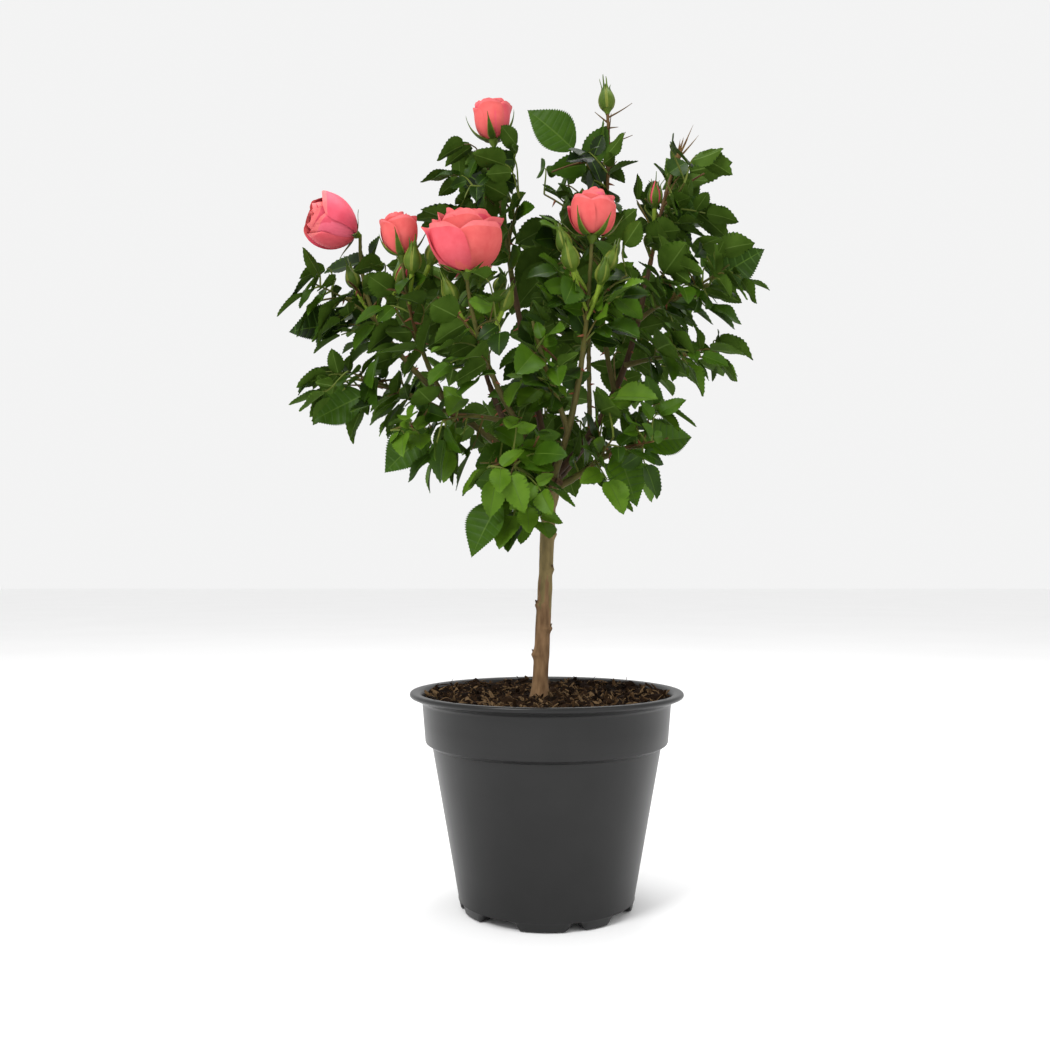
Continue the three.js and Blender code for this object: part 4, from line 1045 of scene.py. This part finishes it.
def add_soil(pile):
    """A crumbled surface over a plain lump, then clods, chips and fibres lying on it."""
    rings, sides = SOIL_GRID
    radius = np.maximum(np.linspace(0, SOIL_RADIUS, rings), 0.05)
    flat = turned(np.stack([radius, 0 * radius], axis=1), sides)
    flat[..., 2] = ground(flat)
    skirt = flat[-1].copy()
    skirt[:, 2] = SOIL_LEVEL - 20
    places = np.concatenate([[skirt * [0.9, 0.9, 1], skirt], flat[::-1]])
    patches = np.where(noise(places[:-1].reshape(-1, 3), 6, 34) > 0.15, SOIL_MID, SOIL_DARK)
    pile.add(places, ring_faces(len(places), sides), np.append(patches, [SOIL_DARK, SOIL_DARK]))
    for i in range(CLODS):
        chance = draws(6, 78, i)
        out = SOIL_RADIUS * 0.955 * math.sqrt(chance[0])
        spot = out * ray(360 * chance[1], 0)
        size = lerp(2, 5.2, chance[2] ** 2)
        if math.dist(spot[:2], TRUNK_ROOT[:2]) < 12 + size or out + size > SOIL_RADIUS:
            continue
        spot[2] = ground(spot) - 0.2 * size
        ball = turned(CLOD * size, 10)
        ball = ball * (1 + 0.4 * noise(ball + 20.0 * i, 0.55 * size, 35))[..., None]
        tilt = unit(UP + ray(360 * chance[3], 0) * chance[4])
        pile.add(placed(ball, spot, tilt), ring_faces(len(ball), 10), int(2.4 * chance[5]))
    for i in range(CHIPS):
        chance = draws(9, 77, i)
        spot = SOIL_RADIUS * 0.985 * math.sqrt(chance[0]) * ray(360 * chance[1], 0)
        spot[2] = ground(spot)
        way = ray(360 * chance[2], lerp(-12, 62, chance[3] ** 1.5))
        if i % 5 < 3:
            length = lerp(2.5, 8, chance[4] ** 2)
            side = unit(np.cross(way, UP + 0.6 * ray(360 * chance[5], 0)))
            thick = np.cross(way, side) * lerp(0.3, 0.8, chance[7])
            width = (CHIP_WIDTHS * lerp(0.7, 1.9, chance[6]))[:, None]
            line = spot + np.outer(np.linspace(-0.5, 0.5, 4) * length, way)
            line = line + UP * (0.4 + 0.35 * length * max(0, way[2]))
            corners = np.stack([line + side * width * s + thick * t for s, t in CHIP_CORNERS], axis=1)
            pile.add(corners, ring_faces(4, 4), SOIL_MID + int(3.999 * chance[8]))
        else:
            length = lerp(5, 15, chance[4])
            half, lift = way * length / 2, UP * 0.3
            bend = unit(np.cross(way, UP)) * length * lerp(-0.35, 0.35, chance[5])
            top = spot + bend + UP * lerp(0.8, 4.6, chance[6])
            curve = Curve(spot - half + lift, top, spot + half + lift)
            kind = CHIP_BROWN + int(2.999 * chance[8])
            add_tube(pile, curve.at(np.linspace(0, 1, 6)), lerp(0.16, 0.38, chance[7]), 4, kind)


# Finishes of each piece: name, two colours, size of patches, roughness, specular, bump and stretch
# The six top tints are lighter and darker copies of one green, dealt out partly by height as painted shade
# and partly at random as the leaves' own tone.
LEAF_FINISHES = finishes(
    ("leaf_deep", (14, 29, 3), (21, 38, 5), 9, 0.42, 0.1),
    ("leaf_dark", (22, 41, 4), (30, 51, 6), 9, 0.42, 0.1),
    ("leaf_main", (32, 55, 5), (41, 66, 8), 9, 0.44, 0.1),
    ("leaf_fresh", (41, 68, 6), (51, 79, 10), 9, 0.44, 0.1),
    ("leaf_light", (52, 82, 9), (63, 93, 15), 9, 0.46, 0.1),
    ("leaf_bright", (66, 97, 16), (79, 110, 24), 9, 0.46, 0.1),
    ("leaf_under", (54, 77, 20), (66, 90, 28), 9, 0.65, 0.05),
    ("leaf_rib", (62, 88, 22), (72, 98, 30), 6, 0.5),
    ("leaf_rib_under", (78, 102, 38), (88, 112, 46), 6, 0.6),
    ("leaf_vein", (50, 76, 24), (60, 86, 32), 6, 0.5, 0.1),
)
TWIG_FINISHES = finishes(
    ("petiole", (82, 98, 36), (96, 104, 44), 5, 0.5),
    ("petiole_dark", (82, 66, 36), (98, 92, 42), 6, 0.5),
    ("stem", (72, 76, 34), (90, 84, 40), 7, 0.5, 0.12, 0.2),
    ("pedicel", (104, 128, 34), (122, 144, 48), 6, 0.45),
    ("twig_red", (84, 58, 36), (96, 76, 40), 6, 0.5, 0.12, 0.2),
    ("twig_thorn", (112, 62, 44), (132, 84, 58), 3, 0.5),
)
CANE_FINISHES = finishes(
    ("cane_old", (58, 42, 30), (78, 60, 40), 5, 0.65, 0.12, 0.5, (1, 1, 3)),
    ("cane_green", (76, 74, 38), (92, 82, 46), 6, 0.6, 0.12, 0.3, (1, 1, 3)),
    ("thorn", (118, 62, 44), (140, 88, 62), 3, 0.5),
)
BARK_FINISHES = finishes(
    ("bark_low", (96, 72, 48), (128, 100, 70), 3, 0.8, 0.2, 0.6, (1, 1, 4)),
    ("bark_high", (96, 84, 52), (122, 106, 68), 3, 0.75, 0.2, 0.6, (1, 1, 4)),
    ("bark_knob", (62, 46, 32), (98, 78, 50), 4, 0.85, 0.2, 0.8),
)
PETAL_FINISHES = finishes(
    ("petal_deep", (188, 43, 58), (200, 56, 71), 7, 0.55),
    ("petal_main", (207, 73, 92), (215, 86, 105), 8, 0.55),
    ("petal_pale", (214, 90, 110), (221, 103, 122), 8, 0.55),
    ("petal_coral", (205, 84, 83), (213, 97, 94), 7, 0.55),
    ("petal_edge", (217, 100, 103), (223, 112, 113), 4, 0.55),
    ("petal_warm", (206, 77, 87), (214, 90, 100), 7, 0.55),
)
GREEN_FINISHES = finishes(
    ("bud_green", (70, 90, 24), (86, 106, 34), 5, 0.45),
    ("sepal", (58, 80, 20), (74, 96, 30), 5, 0.5),
    ("sepal_inside", (112, 126, 84), (126, 138, 96), 5, 0.6),
    ("dry", (92, 66, 38), (116, 92, 50), 4, 0.6),
    ("sepal_edge", (102, 112, 42), (114, 122, 50), 5, 0.5),
)
POT_FINISHES = [finish("pot_plastic", (21, 21, 21), (25, 25, 25), 30, 0.36, 0.3, 0.03)]
SOIL_FINISHES = finishes(
    ("soil_dark", (13, 8, 4), (22, 14, 9), 3, 0.95, 0.05, 0.8),
    ("soil_mid", (22, 14, 9), (34, 23, 15), 3, 0.95, 0.05, 0.8),
    ("chip_brown", (33, 22, 13), (47, 33, 21), 3, 0.9, 0.05),
    ("chip_tan", (60, 43, 27), (78, 59, 38), 3, 0.9, 0.05),
    ("chip_pale", (90, 71, 49), (110, 89, 64), 3, 0.9, 0.05),
)

# The pieces
boughs, stems, trunk, petals, greens, pot, soil = [Pile() for _ in range(7)]
# Angles at which the faces of a piece meet in a crease
LEAF_CREASE, POT_CREASE, SOIL_CREASE = 62, 35, 30
groups = {"left": Pile(), "top": Pile(), "right": Pile(), "back": Pile()}


def group_of(cane):
    """The piece that a mass's leaves go into."""
    word = cane.name.split("_")[0]
    if word in ("back", "top"):
        return word
    return "right" if word == "centre" or cane.centre[0] > 20 else "left"


for index in range(len(CANES)):
    add_cane(boughs, stems, index)
for leaf in LEAVES:
    add_leaf(groups[group_of(leaf.cane)], stems, leaf)

# Way each bloom faces, its size, how far it has opened and the share of its outer petals with a coral outside
TILTS = {"left_outer": ray(212, 12), "front_left": ray(-100, 78), "back_left": ray(100, 60)}
SIZES = {"left_outer": 0.86, "front_left": 0.96, "left_inner": 0.9, "top_left": 0.98}
SPREADS = {"left_outer": 0.8, "centre": 1.28}
BUD_SIZES = (0.72, 0.88)
CORAL = {"left_inner": 0.8, "centre": 0.5, "top_left": 0.5}
for flower in BLOOMS:
    name, seed, pedicel = flower.cane.name, flower.seed, flower.pedicel
    if pedicel is None:
        flower.base = cane_places(flower.cane, 1)
    if flower.kind != "bud":
        add_rose(petals, greens, flower, SIZES.get(name, 1), TILTS.get(name, flower.axis),
                 CORAL.get(name, 0.25), SPREADS.get(name, 1))
    elif pedicel is None and name == "top_right":
        add_spent(greens, flower)
    else:
        pink = name in ("top_right", "left_outer") and draw(seed, 3) > 0.3
        add_bud(petals, greens, flower, lerp(*BUD_SIZES, draw(seed, 2)), pink)
    if pedicel is not None:
        along = np.linspace(0, 1, 12)
        add_tube(stems, pedicel.at(along), lerp(1.25, 1.75, along ** 2), 9, PEDICEL, 0.06, 2)

# Bare twiglets round the highest bud
highest = next(cane for cane in CANES if cane.name == "top_centre")
along = np.linspace(0, 1, 7)
for i in range(11):
    way = ray(GOLDEN_TURN * i + 30, lerp(0, 50, draw(8, i)))
    root = highest.curve.at(lerp(0.8, 0.985, i / 10))
    length = lerp(9, 24, draw(9, i))
    rise = UP * length * lerp(-0.1, 0.35, draw(10, i))
    line = Curve(root, root + way * length * 0.5, root + way * length + rise)
    add_tube(stems, line.at(along), lerp(0.75, 0.2, along), 6, TWIG_RED)

add_trunk(trunk)
add_pot(pot)
add_soil(soil)

for key, pile in groups.items():
    pile.mesh("rose_leaves_" + key, LEAF_FINISHES, "foliage",
              ["mass_" + cane.name for cane in CANES if group_of(cane) == key], LEAF_CREASE)
boughs.mesh("rose_boughs", CANE_FINISHES, "cane", ["bough_" + cane.name for cane in CANES])
stems.mesh("rose_twigs", TWIG_FINISHES, "foliage")
petals.mesh("rose_petals", PETAL_FINISHES, "foliage")
greens.mesh("rose_buds", GREEN_FINISHES, "foliage")
trunk.mesh("rose_trunk", BARK_FINISHES, "bark", ["trunk"])
pot.mesh("rose_pot", POT_FINISHES, "pot", ["pot"], POT_CREASE)
soil.mesh("rose_soil", SOIL_FINISHES, "soil", ["soil"], SOIL_CREASE)

# Stage, light and camera, in metres
FLOOR_REACH, FLOOR_LEVEL = 12, -0.0004
scene = bpy.context.scene
scene.view_settings.view_transform = "Standard"
floor_mesh = bpy.data.meshes.new("floor")
corners = [(FLOOR_REACH * x, FLOOR_REACH * y, FLOOR_LEVEL) for x, y in ((-1, -1), (1, -1), (1, 1), (-1, 1))]
floor_mesh.from_pydata(corners, [], [[0, 1, 2, 3]])
floor_mesh.materials.append(finish("floor_white", (248, 248, 248), (250, 250, 250), 400, 0.8, 0.1))
floor = bpy.data.objects.new("floor", floor_mesh)
scene.collection.objects.link(floor)

world = bpy.data.worlds.new("studio")
world.use_nodes = True
background = world.node_tree.nodes["Background"]
background.inputs["Color"].default_value = (1, 1, 1, 1)
background.inputs["Strength"].default_value = 0.9
scene.world = world

# Name, place, height of the point it is aimed at, size and power of each lamp
LAMPS = [
    ("key", (-0.9, -1.2, 1.6), 0.35, 0.6, 26), ("fill", (1.3, -1.1, 0.9), 0.35, 0.9, 4),
    ("top", (0.1, 0.3, 1.9), 0.2, 0.8, 18)]
for name, place, aim, size, power in LAMPS:
    light = bpy.data.lights.new(name, "AREA")
    light.size, light.energy = size, power
    lamp = bpy.data.objects.new(name, light)
    lamp.location = place
    lamp.rotation_euler = (Vector((0, 0, aim)) - Vector(place)).to_track_quat("-Z", "Y").to_euler()
    scene.collection.objects.link(lamp)

# The photograph's width, focal length and height of its middle over the horizon, in pixels
PHOTO_WIDTH, FOCAL_LENGTH, MIDDLE_RISE = 1050, 1030, 45
camera = bpy.data.objects.new("camera", bpy.data.cameras.new("camera"))
camera.location = (-0.015, -0.72, 0.233)
camera.rotation_euler = (math.radians(90), 0, 0)
camera.data.sensor_width = 36
camera.data.lens = camera.data.sensor_width * FOCAL_LENGTH / PHOTO_WIDTH
camera.data.shift_y = MIDDLE_RISE / PHOTO_WIDTH
camera.data.clip_start = 0.01
scene.collection.objects.link(camera)
scene.camera = camera
